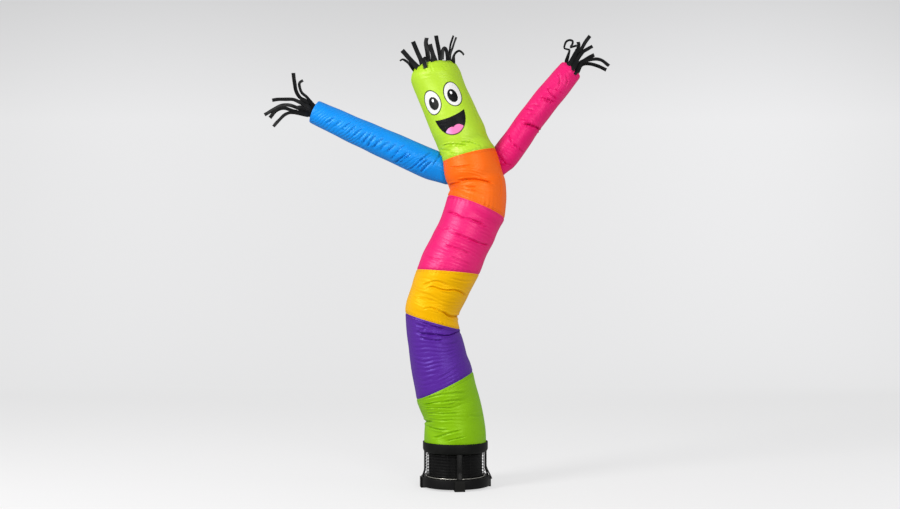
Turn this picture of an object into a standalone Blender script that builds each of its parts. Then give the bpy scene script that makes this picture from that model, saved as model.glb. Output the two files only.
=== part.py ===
"""Inflatable air dancer: a swaying nylon tube with two sleeves, streamers and hair, standing on its blower.

Metres, +Z up, the face looks along -Y. The cloth is drawn as the filled tube stands, bent at its waist
and its neck. The origin lies on the floor under the middle of the whole outline.
"""

import math

import bmesh
import bpy
from mathutils import Matrix, Vector

# Driving dimensions
CLOTH = 0.002  # wall of the coated nylon
GAP = 0.0003  # between pieces that touch
SIDES = 28  # flats round the tube
SLEEVE_SIDES = 20
ROW = 0.023  # height of a row of faces up the tube
SLEEVE_ROW = 0.045
TRIM = 0.0006  # between a sleeve's inner end and the tube
PORT_EDGE = 0.010  # how far a port's edge lies inside its sleeve
PORT_ROWS = 5  # rows of a sleeve's table that its port takes in
NEAR = 0.004  # reach over which a direction is read from a smooth line

BLOWER_X = 0.068  # middle of the blower, from the middle of the outline
BLOWER_TURN = math.radians(-83.0)  # the front foot stands 7 degrees round from straight ahead
BASE_RADIUS = 0.129
BASE_BOTTOM = 0.006
BASE_TOP = 0.040
BASE_FLOOR = 0.012
BASE_EDGE = 0.003  # bevel of the ring's upper edge
RING_INSIDE = 0.1045
FOOT_WIDTH = 0.038
FOOT_REACH = 0.1318
FOOT_PLATE = 0.0024
FOOT_ROOT = 0.104
FOOT_TOP = 0.0385
HOUSING_RADIUS = 0.102
HOUSING_TOP = 0.126
HOUSING_EDGE = 0.006
HOOP_RADIUS = 0.1092
HOOP_WIRE = 0.003
GUARD_RADIUS = 0.1098
GUARD_WIRE = 0.0022
GUARD_HOOPS = 8
GUARD_RODS = 8
GUARD_SPANS = 2  # straight lengths of a hoop between two rods
GUARD_TOP = 0.1302
STRUT_WIDTH = 0.0196
STRUT_BAR = 0.0055
STRUT_RADIUS = 0.1145
STRUT_FOOT_RADIUS = 0.1222
STRUT_SPLAY = (  # radius and height of the bends between the splayed foot and the upright
    (0.1207, 0.046),
    (0.1157, 0.060),
    (0.1145, 0.068),
)
COLLAR_RADIUS = 0.122
COLLAR_FOOT = 0.1165  # radius of its underside, from which it flares
COLLAR_BOTTOM = 0.1305
COLLAR_TOP = 0.1675
COLLAR_FLARE = 0.011  # height of its flare
COLLAR_EDGE = 0.001
COLLAR_INSIDE = 0.1186
LEDGE_TOP = 0.1345
LEDGE_INSIDE = 0.109
ROUND_STEPS = 40
CORD = 0.005
CORD_STEPS = 12

# The tube, a row for each seam and each place where its outline turns: the left and right ends of the
# slanted section, and how far forward its middle stands
SECTIONS = (
    # name, left x, left z, right x, right z, y
    ("hem", -0.0465, 0.1348, 0.1815, 0.1348, 0.000),
    ("collar", -0.0485, 0.168, 0.1840, 0.168, 0.000),
    ("low_pinch", -0.050, 0.240, 0.179, 0.231, -0.002),
    ("green_middle", -0.069, 0.294, 0.163, 0.313, -0.004),
    ("green_purple", -0.078, 0.325, 0.133, 0.428, -0.007),
    ("purple_low", -0.098, 0.440, 0.108, 0.508, -0.011),
    ("purple_high", -0.112, 0.538, 0.090, 0.568, -0.015),
    ("purple_yellow", -0.120, 0.648, 0.085, 0.587, -0.018),
    ("waist_pinch", -0.117, 0.687, 0.082, 0.638, -0.021),
    ("yellow_middle", -0.103, 0.734, 0.114, 0.707, -0.024),
    ("yellow_pink", -0.078, 0.811, 0.157, 0.792, -0.026),
    ("pink_low", -0.053, 0.877, 0.184, 0.858, -0.027),
    ("pink_middle", -0.020, 0.942, 0.211, 0.911, -0.027),
    ("pink_high", 0.012, 1.004, 0.239, 0.972, -0.026),
    ("pink_orange", 0.039, 1.091, 0.253, 1.004, -0.025),
    ("orange_low", 0.043, 1.114, 0.261, 1.068, -0.024),
    ("armpit", 0.034, 1.137, 0.261, 1.114, -0.024),
    ("orange_high", 0.022, 1.175, 0.255, 1.167, -0.025),
    ("orange_lime", 0.015, 1.218, 0.220, 1.271, -0.028),
    ("neck", 0.005, 1.267, 0.202, 1.301, -0.030),
    ("chin", -0.018, 1.318, 0.177, 1.362, -0.033),
    ("face_middle", -0.048, 1.396, 0.145, 1.431, -0.036),
    ("brow", -0.079, 1.472, 0.113, 1.497, -0.037),
    ("head_top", -0.1005, 1.528, 0.098, 1.536, -0.036),
    ("shoulder", -0.098, 1.554, 0.088, 1.567, -0.035),
    ("corner", -0.090, 1.571, 0.075, 1.590, -0.035),
    ("top_seam", -0.083, 1.581, 0.067, 1.600, -0.035),
)

# Panels, from the seam below to the seam above
PANELS = (
    # name, lower seam, upper seam
    ("tube_green", "hem", "green_purple"),
    ("tube_purple", "green_purple", "purple_yellow"),
    ("tube_yellow", "purple_yellow", "yellow_pink"),
    ("tube_pink", "yellow_pink", "pink_orange"),
    ("tube_orange", "pink_orange", "orange_lime"),
    ("tube_lime", "orange_lime", "top_seam"),
)

# Main folds, soft troughs across the tube: the section that one lies on, how far above it, the way it
# faces (0 front, 90 right, -90 left), how far it falls from left to right, its reach round the tube
FOLDS = (
    # section, above, facing, fall, reach, depth, width
    ("low_pinch", 0.000, -80, 0.00, 55, 0.003, 0.022),
    ("low_pinch", -0.040, -30, 0.05, 40, 0.005, 0.020),
    ("green_middle", 0.010, 25, -0.03, 60, 0.004, 0.020),
    ("purple_yellow", -0.030, 40, 0.02, 50, 0.005, 0.020),
    ("waist_pinch", -0.004, 75, 0.03, 60, 0.004, 0.022),
    ("waist_pinch", 0.040, -25, 0.04, 45, 0.005, 0.020),
    ("yellow_middle", 0.030, 10, 0.01, 60, 0.004, 0.020),
    ("pink_low", 0.020, -20, 0.03, 60, 0.004, 0.022),
    ("pink_high", 0.015, 20, 0.04, 60, 0.005, 0.022),
    ("armpit", 0.010, -20, -0.03, 70, 0.010, 0.022),
    ("armpit", -0.030, -50, 0.03, 40, 0.006, 0.018),
    ("neck", 0.000, 10, -0.02, 80, 0.005, 0.018),
    ("armpit", 0.030, 170, 0.02, 80, 0.008, 0.024),
    ("purple_low", 0.020, 180, -0.03, 80, 0.006, 0.024),
    ("pink_middle", 0.000, 190, 0.03, 70, 0.006, 0.024),
    ("chin", 0.010, 175, 0.02, 70, 0.005, 0.024),
)

# Sleeves, from inside the tube to the wrist seam. They are flatter where they are sewn to the tube
BLUE_SLEEVE = (
    # x, y, z, height, depth
    (0.100, -0.008, 1.179, 0.104, 0.085),
    (0.0395, -0.008, 1.1945, 0.112, 0.088),
    (0.0075, -0.008, 1.2045, 0.1155, 0.095),
    (-0.0285, -0.009, 1.216, 0.117, 0.103),
    (-0.095, -0.012, 1.2445, 0.114, 0.111),
    (-0.162, -0.015, 1.275, 0.1115, 0.1115),
    (-0.2925, -0.019, 1.3335, 0.1035, 0.1035),
    (-0.400, -0.020, 1.383, 0.096, 0.096),
    (-0.471, -0.020, 1.416, 0.0905, 0.0905),
)
PINK_SLEEVE = (
    # x, y, z, height, depth
    (0.180, 0.002, 1.149, 0.060, 0.060),
    (0.2225, 0.002, 1.198, 0.076, 0.070),
    (0.246, 0.002, 1.2315, 0.103, 0.086),
    (0.2705, 0.001, 1.264, 0.108, 0.096),
    (0.305, -0.002, 1.3105, 0.105, 0.103),
    (0.3585, -0.005, 1.388, 0.102, 0.102),
    (0.4140, -0.007, 1.4605, 0.1015, 0.1015),
    (0.4675, -0.008, 1.526, 0.0985, 0.0985),
    (0.514, -0.008, 1.582, 0.0915, 0.0915),
)
WRIST_CAP = 0.002
TOP_CAP_DOME = (
    # radius, height
    (0.0685, 0.0),
    (0.045, 0.005),
    (0.020, 0.007),
)

# Hair, cut from one fringed band that stands on the head's seam. Each strip grows from one step of the
# band, then goes through its own points; turn twists its flat side away from the front
BAND_RADIUS = 0.0735
BAND_STEPS = 36
BAND_HEIGHT = 0.006
STRIP = 0.0016  # thickness of a strip of black nylon
STRIP_STEP = 0.020  # length of a strip's straight stretches
SIDEWAYS = 0.3  # how far a strip's broad side turns with the band, away from the front
HAIR = (
    # band step, width, turn, points
    (19, 0.008, 40, ((-0.109, -0.058, 1.598), (-0.132, -0.061, 1.611), (-0.1425, -0.063, 1.600))),
    (21, 0.0150, 0, ((-0.098, -0.089, 1.604), (-0.132, -0.095, 1.635))),
    (14, 0.0145, 10, ((-0.064, 0.024, 1.640), (-0.080, 0.027, 1.668), (-0.097, 0.030, 1.704))),
    (25, 0.012, 0, ((-0.047, -0.118, 1.588), (-0.039, -0.127, 1.577), (-0.043, -0.128, 1.558))),
    (12, 0.0145, -25, ((-0.041, 0.034, 1.655), (-0.048, 0.036, 1.700), (-0.041, 0.031, 1.719))),
    (27, 0.0145, 0, ((-0.018, -0.113, 1.620), (-0.028, -0.120, 1.651))),
    (9, 0.0150, 5, ((0.001, 0.046, 1.675), (-0.007, 0.050, 1.735))),
    (29, 0.0130, 0, ((0.017, -0.113, 1.627), (0.027, -0.116, 1.642), (0.038, -0.113, 1.627),
                     (0.0445, -0.105, 1.606))),
    (7, 0.0075, 20, ((0.048, 0.032, 1.680), (0.062, 0.038, 1.730))),
    (5, 0.0075, -20, ((0.060, 0.008, 1.668), (0.075, 0.002, 1.712))),
    (32, 0.007, 30, ((0.064, -0.080, 1.622), (0.080, -0.086, 1.635), (0.101, -0.090, 1.617))),
)

# Hand streamers. Each bunch has a root block of a grid of steps, and a strip grows from a step
ROOT_COLUMNS = 4
ROOT_ROWS = 2
ROOT_WIDTH = 0.050
ROOT_DEPTH = 0.022
ROOT_HEIGHT = 0.012
BLUE_STREAMERS = (
    # column, row, width, turn, points
    (2, 1, 0.014, 0, ((-0.515, -0.012, 1.464), (-0.539, -0.008, 1.484), (-0.550, -0.004, 1.522),
                      (-0.558, 0.000, 1.572))),
    (3, 0, 0.010, 25, ((-0.499, -0.040, 1.480), (-0.516, -0.048, 1.490), (-0.523, -0.054, 1.512),
                       (-0.512, -0.058, 1.530))),
    (2, 0, 0.013, 0, ((-0.520, -0.034, 1.449), (-0.558, -0.044, 1.458), (-0.601, -0.050, 1.455),
                      (-0.627, -0.054, 1.448))),
    (1, 1, 0.014, 0, ((-0.521, 0.000, 1.434), (-0.570, 0.012, 1.447), (-0.612, 0.020, 1.437),
                      (-0.6655, 0.028, 1.414))),
    (0, 0, 0.012, 0, ((-0.529, -0.034, 1.414), (-0.582, -0.044, 1.427), (-0.612, -0.052, 1.412),
                      (-0.635, -0.060, 1.386))),
    (0, 1, 0.013, 0, ((-0.505, -0.010, 1.402), (-0.560, -0.006, 1.418), (-0.590, -0.006, 1.403),
                      (-0.630, -0.010, 1.360))),
)
PINK_STREAMERS = (
    # column, row, width, turn, points
    (0, 1, 0.009, 10, ((0.502, 0.012, 1.630), (0.513, 0.024, 1.656), (0.513, 0.030, 1.676),
                       (0.495, 0.030, 1.682), (0.500, 0.030, 1.703), (0.516, 0.028, 1.711),
                       (0.527, 0.034, 1.704), (0.523, 0.038, 1.689), (0.536, 0.040, 1.688))),
    (1, 0, 0.016, 20, ((0.524, -0.020, 1.625), (0.536, -0.028, 1.656), (0.540, -0.032, 1.687))),
    (1, 1, 0.014, 0, ((0.547, 0.004, 1.645), (0.569, 0.009, 1.684), (0.591, 0.013, 1.721))),
    (2, 0, 0.013, 0, ((0.543, -0.026, 1.628), (0.566, -0.036, 1.651), (0.593, -0.042, 1.666))),
    (2, 1, 0.0125, 0, ((0.564, 0.008, 1.616), (0.586, 0.018, 1.634), (0.609, 0.026, 1.650))),
    (3, 0, 0.013, 0, ((0.560, -0.024, 1.601), (0.585, -0.030, 1.614), (0.612, -0.036, 1.6135),
                      (0.637, -0.040, 1.604), (0.660, -0.044, 1.588))),
    (3, 1, 0.014, 0, ((0.566, 0.006, 1.602), (0.605, 0.012, 1.605), (0.657, 0.018, 1.589))),
)
PINK_ROOT_SHIFT = -0.005  # the pink hand's bunch is sewn nearer the upper edge

# Loose tail of the draw cord, down the right strut and clear of it at the foot
CORD_POINTS = (
    (0.1820, -0.0005, 0.1302),
    (0.1820, -0.0005, 0.1150),
    (0.1819, -0.0007, 0.0980),
    (0.1820, -0.0014, 0.0830),
    (0.1846, -0.0035, 0.0700),
    (0.1908, -0.0065, 0.0565),
    (0.1978, -0.0095, 0.0430),
    (0.2035, -0.0130, 0.0300),
)

# Colours (linear), roughness and metallic
FINISHES = {
    "green": ((0.21, 0.44, 0.01), 0.45, 0.0),
    "purple": ((0.11, 0.03, 0.32), 0.45, 0.0),
    "yellow": ((0.83, 0.47, 0.01), 0.45, 0.0),
    "pink": ((0.80, 0.03, 0.19), 0.45, 0.0),
    "orange": ((0.90, 0.17, 0.01), 0.45, 0.0),
    "lime": ((0.52, 0.78, 0.06), 0.45, 0.0),
    "blue": ((0.01, 0.31, 0.85), 0.45, 0.0),
    "black_nylon": ((0.012, 0.012, 0.013), 0.6, 0.0),
    "black_plastic": ((0.012, 0.012, 0.012), 0.5, 0.0),
    "black_paint": ((0.010, 0.010, 0.010), 0.4, 0.5),
    "bare_wire": ((0.60, 0.59, 0.55), 0.3, 1.0),
}


def material_for(name):
    """The finish called name, made on first use."""
    found = bpy.data.materials.get(name)
    if found:
        return found
    colour, roughness, metallic = FINISHES[name]
    found = bpy.data.materials.new(name)
    found.use_nodes = True
    shader = found.node_tree.nodes["Principled BSDF"]
    shader.inputs["Base Color"].default_value = (*colour, 1.0)
    shader.inputs["Roughness"].default_value = roughness
    shader.inputs["Metallic"].default_value = metallic
    return found


def add_mesh(name, bm, finish, collection):
    """Puts a bmesh into the scene as an object called name."""
    bmesh.ops.recalc_face_normals(bm, faces=bm.faces[:])
    mesh = bpy.data.meshes.new(name)
    bm.to_mesh(mesh)
    bm.free()
    if finish:
        mesh.materials.append(material_for(finish))
    mesh.shade_smooth()
    mesh.set_sharp_from_angle(angle=math.radians(40))
    piece = bpy.data.objects.new(name, mesh)
    collection.objects.link(piece)
    return piece


def as_cutter(piece):
    """Hides a shape that only cuts others."""
    piece.hide_render = True
    piece.display_type = "WIRE"
    return piece


def cut(piece, cutter):
    """Takes cutter's shape out of piece."""
    boolean = piece.modifiers.new("cut_" + cutter.name, "BOOLEAN")
    boolean.operation = "DIFFERENCE"
    boolean.solver = "EXACT"
    boolean.object = cutter


def smooth_value(knots, values, at):
    """Reads a smooth curve through values, which stand at knots."""
    last = len(knots) - 1
    i = 0
    while i < last - 1 and at > knots[i + 1]:
        i += 1
    span = knots[i + 1] - knots[i]
    u = (at - knots[i]) / span

    def slope(k):
        a, b = max(k - 1, 0), min(k + 1, last)
        return (values[b] - values[a]) / (knots[b] - knots[a])

    rise_in, rise_out = slope(i) * span, slope(i + 1) * span
    u2, u3 = u * u, u * u * u
    return (
        (2 * u3 - 3 * u2 + 1) * values[i]
        + (u3 - 2 * u2 + u) * rise_in
        + (3 * u2 - 2 * u3) * values[i + 1]
        + (u3 - u2) * rise_out
    )


def distances(points):
    """How far along a line through points each of them lies."""
    reach = [0.0]
    for a, b in zip(points, points[1:]):
        reach.append(reach[-1] + (b - a).length)
    return reach


def bridge(bm, rings, closed):
    """Joins neighbouring rings of vertices with faces, and the last one with the first if closed."""
    pairs = list(zip(rings, rings[1:]))
    if closed:
        pairs.append((rings[-1], rings[0]))
    for low, high in pairs:
        for i in range(len(low)):
            j = (i + 1) % len(low)
            bm.faces.new((low[i], low[j], high[j], high[i]))


def loft(name, rings, finish, collection, closed):
    """A solid through rings of points. Closed, it is a wall open at both ends; otherwise it is capped."""
    bm = bmesh.new()
    made = [[bm.verts.new(point) for point in ring] for ring in rings]
    bridge(bm, made, closed)
    if not closed:
        bm.faces.new(made[0])
        bm.faces.new(made[-1])
    return add_mesh(name, bm, finish, collection)


# ---- the tube

MIDDLES = [Vector(((lx + rx) / 2, y, (lz + rz) / 2)) for _, lx, lz, rx, rz, y in SECTIONS]
KNOTS = distances(MIDDLES)
COLUMNS = [[row[i] for row in SECTIONS] for i in range(1, 6)]
PLACES = {row[0]: at for row, at in zip(SECTIONS, KNOTS)}


def tube_middle(at):
    lx, lz, rx, rz, y = (smooth_value(KNOTS, column, at) for column in COLUMNS)
    return Vector(((lx + rx) / 2, y, (lz + rz) / 2)), Vector((rx - lx, 0, rz - lz))


def fold_depth(at, facing):
    """How deep the folds press the cloth in, at a distance up the tube and a facing in degrees."""
    deep = 0.0
    for section, above, towards, fall, reach, depth, width in FOLDS:
        turn = (facing - towards + 180) % 360 - 180
        away = at - PLACES[section] - above + fall * math.radians(turn)
        deep += depth * math.exp(-((turn / reach) ** 2) - (away / width) ** 2)
    return deep


def tube_ring(at, grow=0.0, lift=0.0):
    """Points round the tube at a distance up its middle line. grow widens it, lift moves the ring along."""
    middle, across = tube_middle(at)
    rise = (tube_middle(at + NEAR)[0] - tube_middle(at - NEAR)[0]).normalized()
    half = across.length / 2
    across.normalize()
    squared = math.sqrt(1 - across.dot(rise) ** 2)
    deep = rise.cross(across).normalized()
    middle = middle + across.cross(deep) * lift
    points = []
    for i in range(SIDES):
        angle = 2 * math.pi * i / SIDES
        facing = math.degrees(angle) + 90
        press = fold_depth(at, facing)
        wide = half + (grow - press) / squared
        thick = half * squared + grow - press
        points.append(middle + across * (wide * math.cos(angle)) + deep * (thick * math.sin(angle)))
    return points


def panel_steps(low, high):
    """Distances up the tube of a panel's rows."""
    start, end = PLACES[low], PLACES[high]
    rows = round((end - start) / ROW)
    return [start + (end - start) * i / rows for i in range(rows + 1)]


def build_panel(name, low, high, collection):
    steps = panel_steps(low, high)
    lifts = [0.0] * len(steps)
    lifts[0] = GAP / 2 if low != "hem" else 0.0
    lifts[-1] = -GAP / 2
    outside = [tube_ring(at, 0.0, lift) for at, lift in zip(steps, lifts)]
    inside = [tube_ring(at, -CLOTH, lift) for at, lift in zip(steps, lifts)]
    finish = name.split("_")[1]
    return loft(name, outside + inside[::-1], finish, collection, closed=True)


def build_tube(collection, cutters):
    """The six panels, and a solid of their upper half that trims the sleeves' inner ends."""
    panels = {name: build_panel(name, low, high, collection) for name, low, high in PANELS}
    steps = sorted({at for _, low, high in PANELS[3:] for at in panel_steps(low, high)})
    rings = [tube_ring(at, TRIM) for at in steps]
    core = as_cutter(loft("tube_core", rings, None, cutters, closed=False))
    return panels, core


def build_top_cap(collection):
    """The round piece in the head's seam, a shallow dome with a flat rim under the hair's band."""
    middle, across, deep, up = top_frame()
    radius = across.length / 2 - CLOTH - GAP
    profile = ((radius, 0.0), *TOP_CAP_DOME)
    across = across.normalized()

    def disc(height):
        return [ring_points(middle + up * (z + height), across, deep, r, r, SIDES) for r, z in profile]

    rings = disc(0.0)[::-1] + disc(-CLOTH)
    return loft("top_cap", rings, "lime", collection, closed=False)


def top_frame():
    """Middle, width, depth and upward directions of the head's seam."""
    at = PLACES["top_seam"]
    middle, across = tube_middle(at)
    rise = (middle - tube_middle(at - ROW)[0]).normalized()
    deep = rise.cross(across).normalized()
    up = across.normalized().cross(deep)
    return middle, across, deep, up


def ring_points(middle, across, deep, wide, thick, sides):
    turns = [2 * math.pi * i / sides for i in range(sides)]
    return [middle + across * (wide * math.cos(a)) + deep * (thick * math.sin(a)) for a in turns]


# ---- the sleeves


def sleeve_rings(rows, start, grow, spacing):
    """Rings across a sleeve's line, from the distance start to its wrist."""
    points = [Vector(row[:3]) for row in rows]
    knots = distances(points)
    columns = [[row[i] for row in rows] for i in range(5)]
    steps = max(2, round((knots[-1] - start) / spacing))
    rings = []
    for i in range(steps + 1):
        at = start + (knots[-1] - start) * i / steps
        middle, ahead = sleeve_place(columns, knots, at)
        tall, thick = (smooth_value(knots, column, at) / 2 + grow for column in columns[3:])
        side, deep = sleeve_sides(ahead)
        rings.append(ring_points(middle, side, deep, tall, thick, SLEEVE_SIDES))
    return rings


def sleeve_place(columns, knots, at):
    spots = (at - NEAR, at, at + NEAR)
    before, middle, after = (Vector([smooth_value(knots, c, spot) for c in columns[:3]]) for spot in spots)
    return middle, (after - before).normalized()


def sleeve_sides(ahead):
    side = ahead.cross(Vector((0, 1, 0))).normalized()
    return side, side.cross(ahead)


def wrist_frame(rows):
    """Middle, side, depth and outward directions of a sleeve's wrist seam, and its radius."""
    knots = distances([Vector(row[:3]) for row in rows])
    columns = [[row[i] for row in rows] for i in range(3)]
    middle, ahead = sleeve_place(columns, knots, knots[-1])
    side, deep = sleeve_sides(ahead)
    return middle, side, deep, ahead, rows[-1][3] / 2


def build_sleeve(name, rows, finish, core, panels, collection, cutters):
    outside = sleeve_rings(rows, 0.0, 0.0, SLEEVE_ROW)
    inside = sleeve_rings(rows, 0.0, -CLOTH, SLEEVE_ROW)
    sleeve = loft(name, outside + inside[::-1], finish, collection, closed=True)
    cut(sleeve, core)
    port_rings = sleeve_rings(rows[:PORT_ROWS], 0.0, -PORT_EDGE, SLEEVE_ROW)
    port = as_cutter(loft(name + "_port", port_rings, None, cutters, closed=False))
    for panel in panels:
        cut(panel, port)


def build_wrist_cap(name, rows, finish, collection):
    middle, side, deep, ahead, radius = wrist_frame(rows)
    radius -= CLOTH + GAP
    rings = []
    for depth in (-WRIST_CAP, 0.0):
        rings.append(ring_points(middle + ahead * depth, side, deep, radius, radius, SLEEVE_SIDES))
    loft(name, rings, finish, collection, closed=False)


# ---- strips of black nylon


def smooth_path(points, steps):
    """Points spaced evenly along a smooth line through points."""
    knots = distances(points)
    columns = [[p[i] for p in points] for i in range(3)]
    spots = [knots[-1] * i / steps for i in range(steps + 1)]
    return [Vector([smooth_value(knots, column, at) for column in columns]) for at in spots]


def grow_strip(bm, face, points, width, turn, flat):
    """Extrudes face into a flat strip through points. flat points from the strip's broad side."""
    root = face.calc_center_median()
    line = [root] + [Vector(p) for p in points]
    length = distances(line)[-1]
    path = smooth_path(line, max(3, round(length / STRIP_STEP)))
    corners = [vert.co - root for vert in face.verts]
    last_side = None
    for i in range(1, len(path)):
        ahead = (path[min(i + 1, len(path) - 1)] - path[i - 1]).normalized()
        side = ahead.cross(flat)
        side = (Matrix.Rotation(math.radians(turn) * i / len(path), 3, ahead) @ side).normalized()
        if last_side and side.dot(last_side) < 0:
            side = -side
        last_side = side
        out = side.cross(ahead)
        if i == 1:
            signs = corner_signs(corners, side, out)
        face = bmesh.ops.extrude_discrete_faces(bm, faces=[face])["faces"][0]
        for vert, (across, through) in zip(face.verts, signs):
            vert.co = path[i] + side * (across * width / 2) + out * (through * STRIP / 2)


def corner_signs(corners, side, out):
    """Which corner of a strip's section each corner of its root face becomes, kept in their order round."""
    order = [(-1, -1), (1, -1), (1, 1), (-1, 1)]
    best = None
    for way in (order, order[::-1]):
        for shift in range(4):
            signs = way[shift:] + way[:shift]
            score = sum(c.dot(side) * a + c.dot(out) * b for c, (a, b) in zip(corners, signs))
            if best is None or score > best[0]:
                best = (score, signs)
    return best[1]


def build_hair(collection):
    """A thin upright band on the head's seam, with the strips grown from its upper edge."""
    middle, across, deep, up = top_frame()
    across = across.normalized()
    bm = bmesh.new()
    rings = []
    for radius, height in ((1, 0), (1, 1), (-1, 1), (-1, 0)):
        r = BAND_RADIUS + radius * STRIP / 2
        level = middle + up * (GAP + height * BAND_HEIGHT)
        points = ring_points(level, across, deep, r, r, BAND_STEPS)
        rings.append([bm.verts.new(p) for p in points])
    bridge(bm, rings, closed=True)
    bm.faces.ensure_lookup_table()
    bmesh.ops.recalc_face_normals(bm, faces=bm.faces[:])
    tops = bm.faces[BAND_STEPS : 2 * BAND_STEPS]
    for step, width, turn, points in HAIR:
        outward = (tops[step].calc_center_median() - middle).normalized()
        flat = Vector((outward.x * SIDEWAYS, math.copysign(1, outward.y), 0)).normalized()
        grow_strip(bm, tops[step], points, width, turn, flat)
    add_mesh("hair_fringe", bm, "black_nylon", collection)


def build_streamers(name, rows, streamers, shift, collection):
    """A bunched root on the wrist cap, with the streamers grown from its outer end."""
    middle, side, deep, ahead, _ = wrist_frame(rows)
    if side.z < 0:
        side, deep = -side, -deep
    base = middle + ahead * GAP + side * shift
    bm = bmesh.new()
    levels = []
    for height in (0.0, ROOT_HEIGHT):
        grid = []
        for row in range(ROOT_ROWS + 1):
            for column in range(ROOT_COLUMNS + 1):
                u = (column / ROOT_COLUMNS - 0.5) * ROOT_WIDTH
                v = (row / ROOT_ROWS - 0.5) * ROOT_DEPTH
                grid.append(bm.verts.new(base + ahead * height + side * u + Vector((0, v, 0))))
        levels.append(grid)
    low, high = levels
    across = ROOT_COLUMNS + 1
    steps = {}
    for row in range(ROOT_ROWS):
        for column in range(ROOT_COLUMNS):
            a = row * across + column
            quad = (a, a + 1, a + across + 1, a + across)
            bm.faces.new([low[i] for i in quad])
            steps[column, row] = bm.faces.new([high[i] for i in quad])
    edge = list(range(across))
    edge += [row * across + ROOT_COLUMNS for row in range(1, ROOT_ROWS + 1)]
    edge += [ROOT_ROWS * across + column for column in range(ROOT_COLUMNS - 1, -1, -1)]
    edge += [row * across for row in range(ROOT_ROWS - 1, 0, -1)]
    for a, b in zip(edge, edge[1:] + edge[:1]):
        bm.faces.new((low[a], low[b], high[b], high[a]))
    bmesh.ops.recalc_face_normals(bm, faces=bm.faces[:])
    for column, row, width, turn, points in streamers:
        grow_strip(bm, steps[column, row], points, width, turn, Vector((0, -1, 0)))
    add_mesh(name, bm, "black_nylon", collection)


# ---- the blower


def turned(name, profile, finish, collection, closed):
    """A turned piece round the blower's axis. Its profile of (radius, height) runs down the outer side."""
    mesh = bpy.data.meshes.new(name)
    edges = [(i, i + 1) for i in range(len(profile) - 1)]
    if closed:
        edges.append((len(profile) - 1, 0))
    mesh.from_pydata([(r, 0, z) for r, z in profile], edges, [])
    mesh.materials.append(material_for(finish))
    piece = bpy.data.objects.new(name, mesh)
    collection.objects.link(piece)
    piece.location.x = BLOWER_X
    screw = piece.modifiers.new("turn", "SCREW")
    screw.steps = screw.render_steps = ROUND_STEPS
    screw.use_merge_vertices = True
    screw.merge_threshold = 0.00005
    return piece


def at_angle(turn, radius, z):
    return Vector((BLOWER_X + radius * math.cos(turn), radius * math.sin(turn), z))


def build_base(collection):
    profile = (
        (0.0, BASE_FLOOR),
        (RING_INSIDE, BASE_FLOOR),
        (RING_INSIDE, BASE_TOP),
        (BASE_RADIUS - BASE_EDGE, BASE_TOP),
        (BASE_RADIUS, BASE_TOP - BASE_EDGE),
        (BASE_RADIUS, BASE_BOTTOM),
        (0.0, BASE_BOTTOM),
    )
    turned("blower_base", profile, "black_plastic", collection, closed=False)


def build_foot(name, turn, collection):
    """A pad under the ring with a plate up its outer side, cut from one outline."""
    outline = (
        (FOOT_ROOT, 0.0),
        (FOOT_REACH, 0.0),
        (FOOT_REACH, FOOT_TOP),
        (FOOT_REACH - FOOT_PLATE, FOOT_TOP),
        (FOOT_REACH - FOOT_PLATE, BASE_BOTTOM - GAP),
        (FOOT_ROOT, BASE_BOTTOM - GAP),
    )
    side = Vector((-math.sin(turn), math.cos(turn), 0))
    rings = []
    for end in (-0.5, 0.5):
        rings.append([at_angle(turn, r, z) + side * (end * FOOT_WIDTH) for r, z in outline])
    loft(name, rings, "black_plastic", collection, closed=False)


def build_strut(name, turn, collection):
    """A flat bar from the base ring to the collar, splayed at its foot."""
    line = (
        (STRUT_FOOT_RADIUS, BASE_TOP + GAP),
        *STRUT_SPLAY,
        (STRUT_RADIUS, COLLAR_BOTTOM - GAP),
    )
    out = Vector((math.cos(turn), math.sin(turn), 0)) * (STRUT_BAR / 2)
    side = Vector((-math.sin(turn), math.cos(turn), 0)) * (STRUT_WIDTH / 2)
    rings = []
    for radius, z in line:
        middle = at_angle(turn, radius, z)
        rings.append([middle + out + side, middle + out - side, middle - out - side, middle - out + side])
    loft(name, rings, "black_paint", collection, closed=False)


def build_housing(collection):
    profile = (
        (0.0, HOUSING_TOP),
        (HOUSING_RADIUS - HOUSING_EDGE, HOUSING_TOP),
        (HOUSING_RADIUS, HOUSING_TOP - HOUSING_EDGE),
        (HOUSING_RADIUS, BASE_FLOOR + GAP),
        (0.0, BASE_FLOOR + GAP),
    )
    turned("blower_housing", profile, "black_plastic", collection, closed=False)


def build_hoop(collection):
    bpy.ops.mesh.primitive_torus_add(
        major_radius=HOOP_RADIUS,
        minor_radius=HOOP_WIRE / 2,
        major_segments=ROUND_STEPS,
        minor_segments=6,
        location=(BLOWER_X, 0, BASE_TOP + GAP + HOOP_WIRE / 2),
    )
    hoop = bpy.context.object
    hoop.name = hoop.data.name = "blower_hoop"
    hoop.data.materials.append(material_for("bare_wire"))
    hoop.data.shade_smooth()
    for holder in hoop.users_collection:
        holder.objects.unlink(hoop)
    collection.objects.link(hoop)


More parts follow.
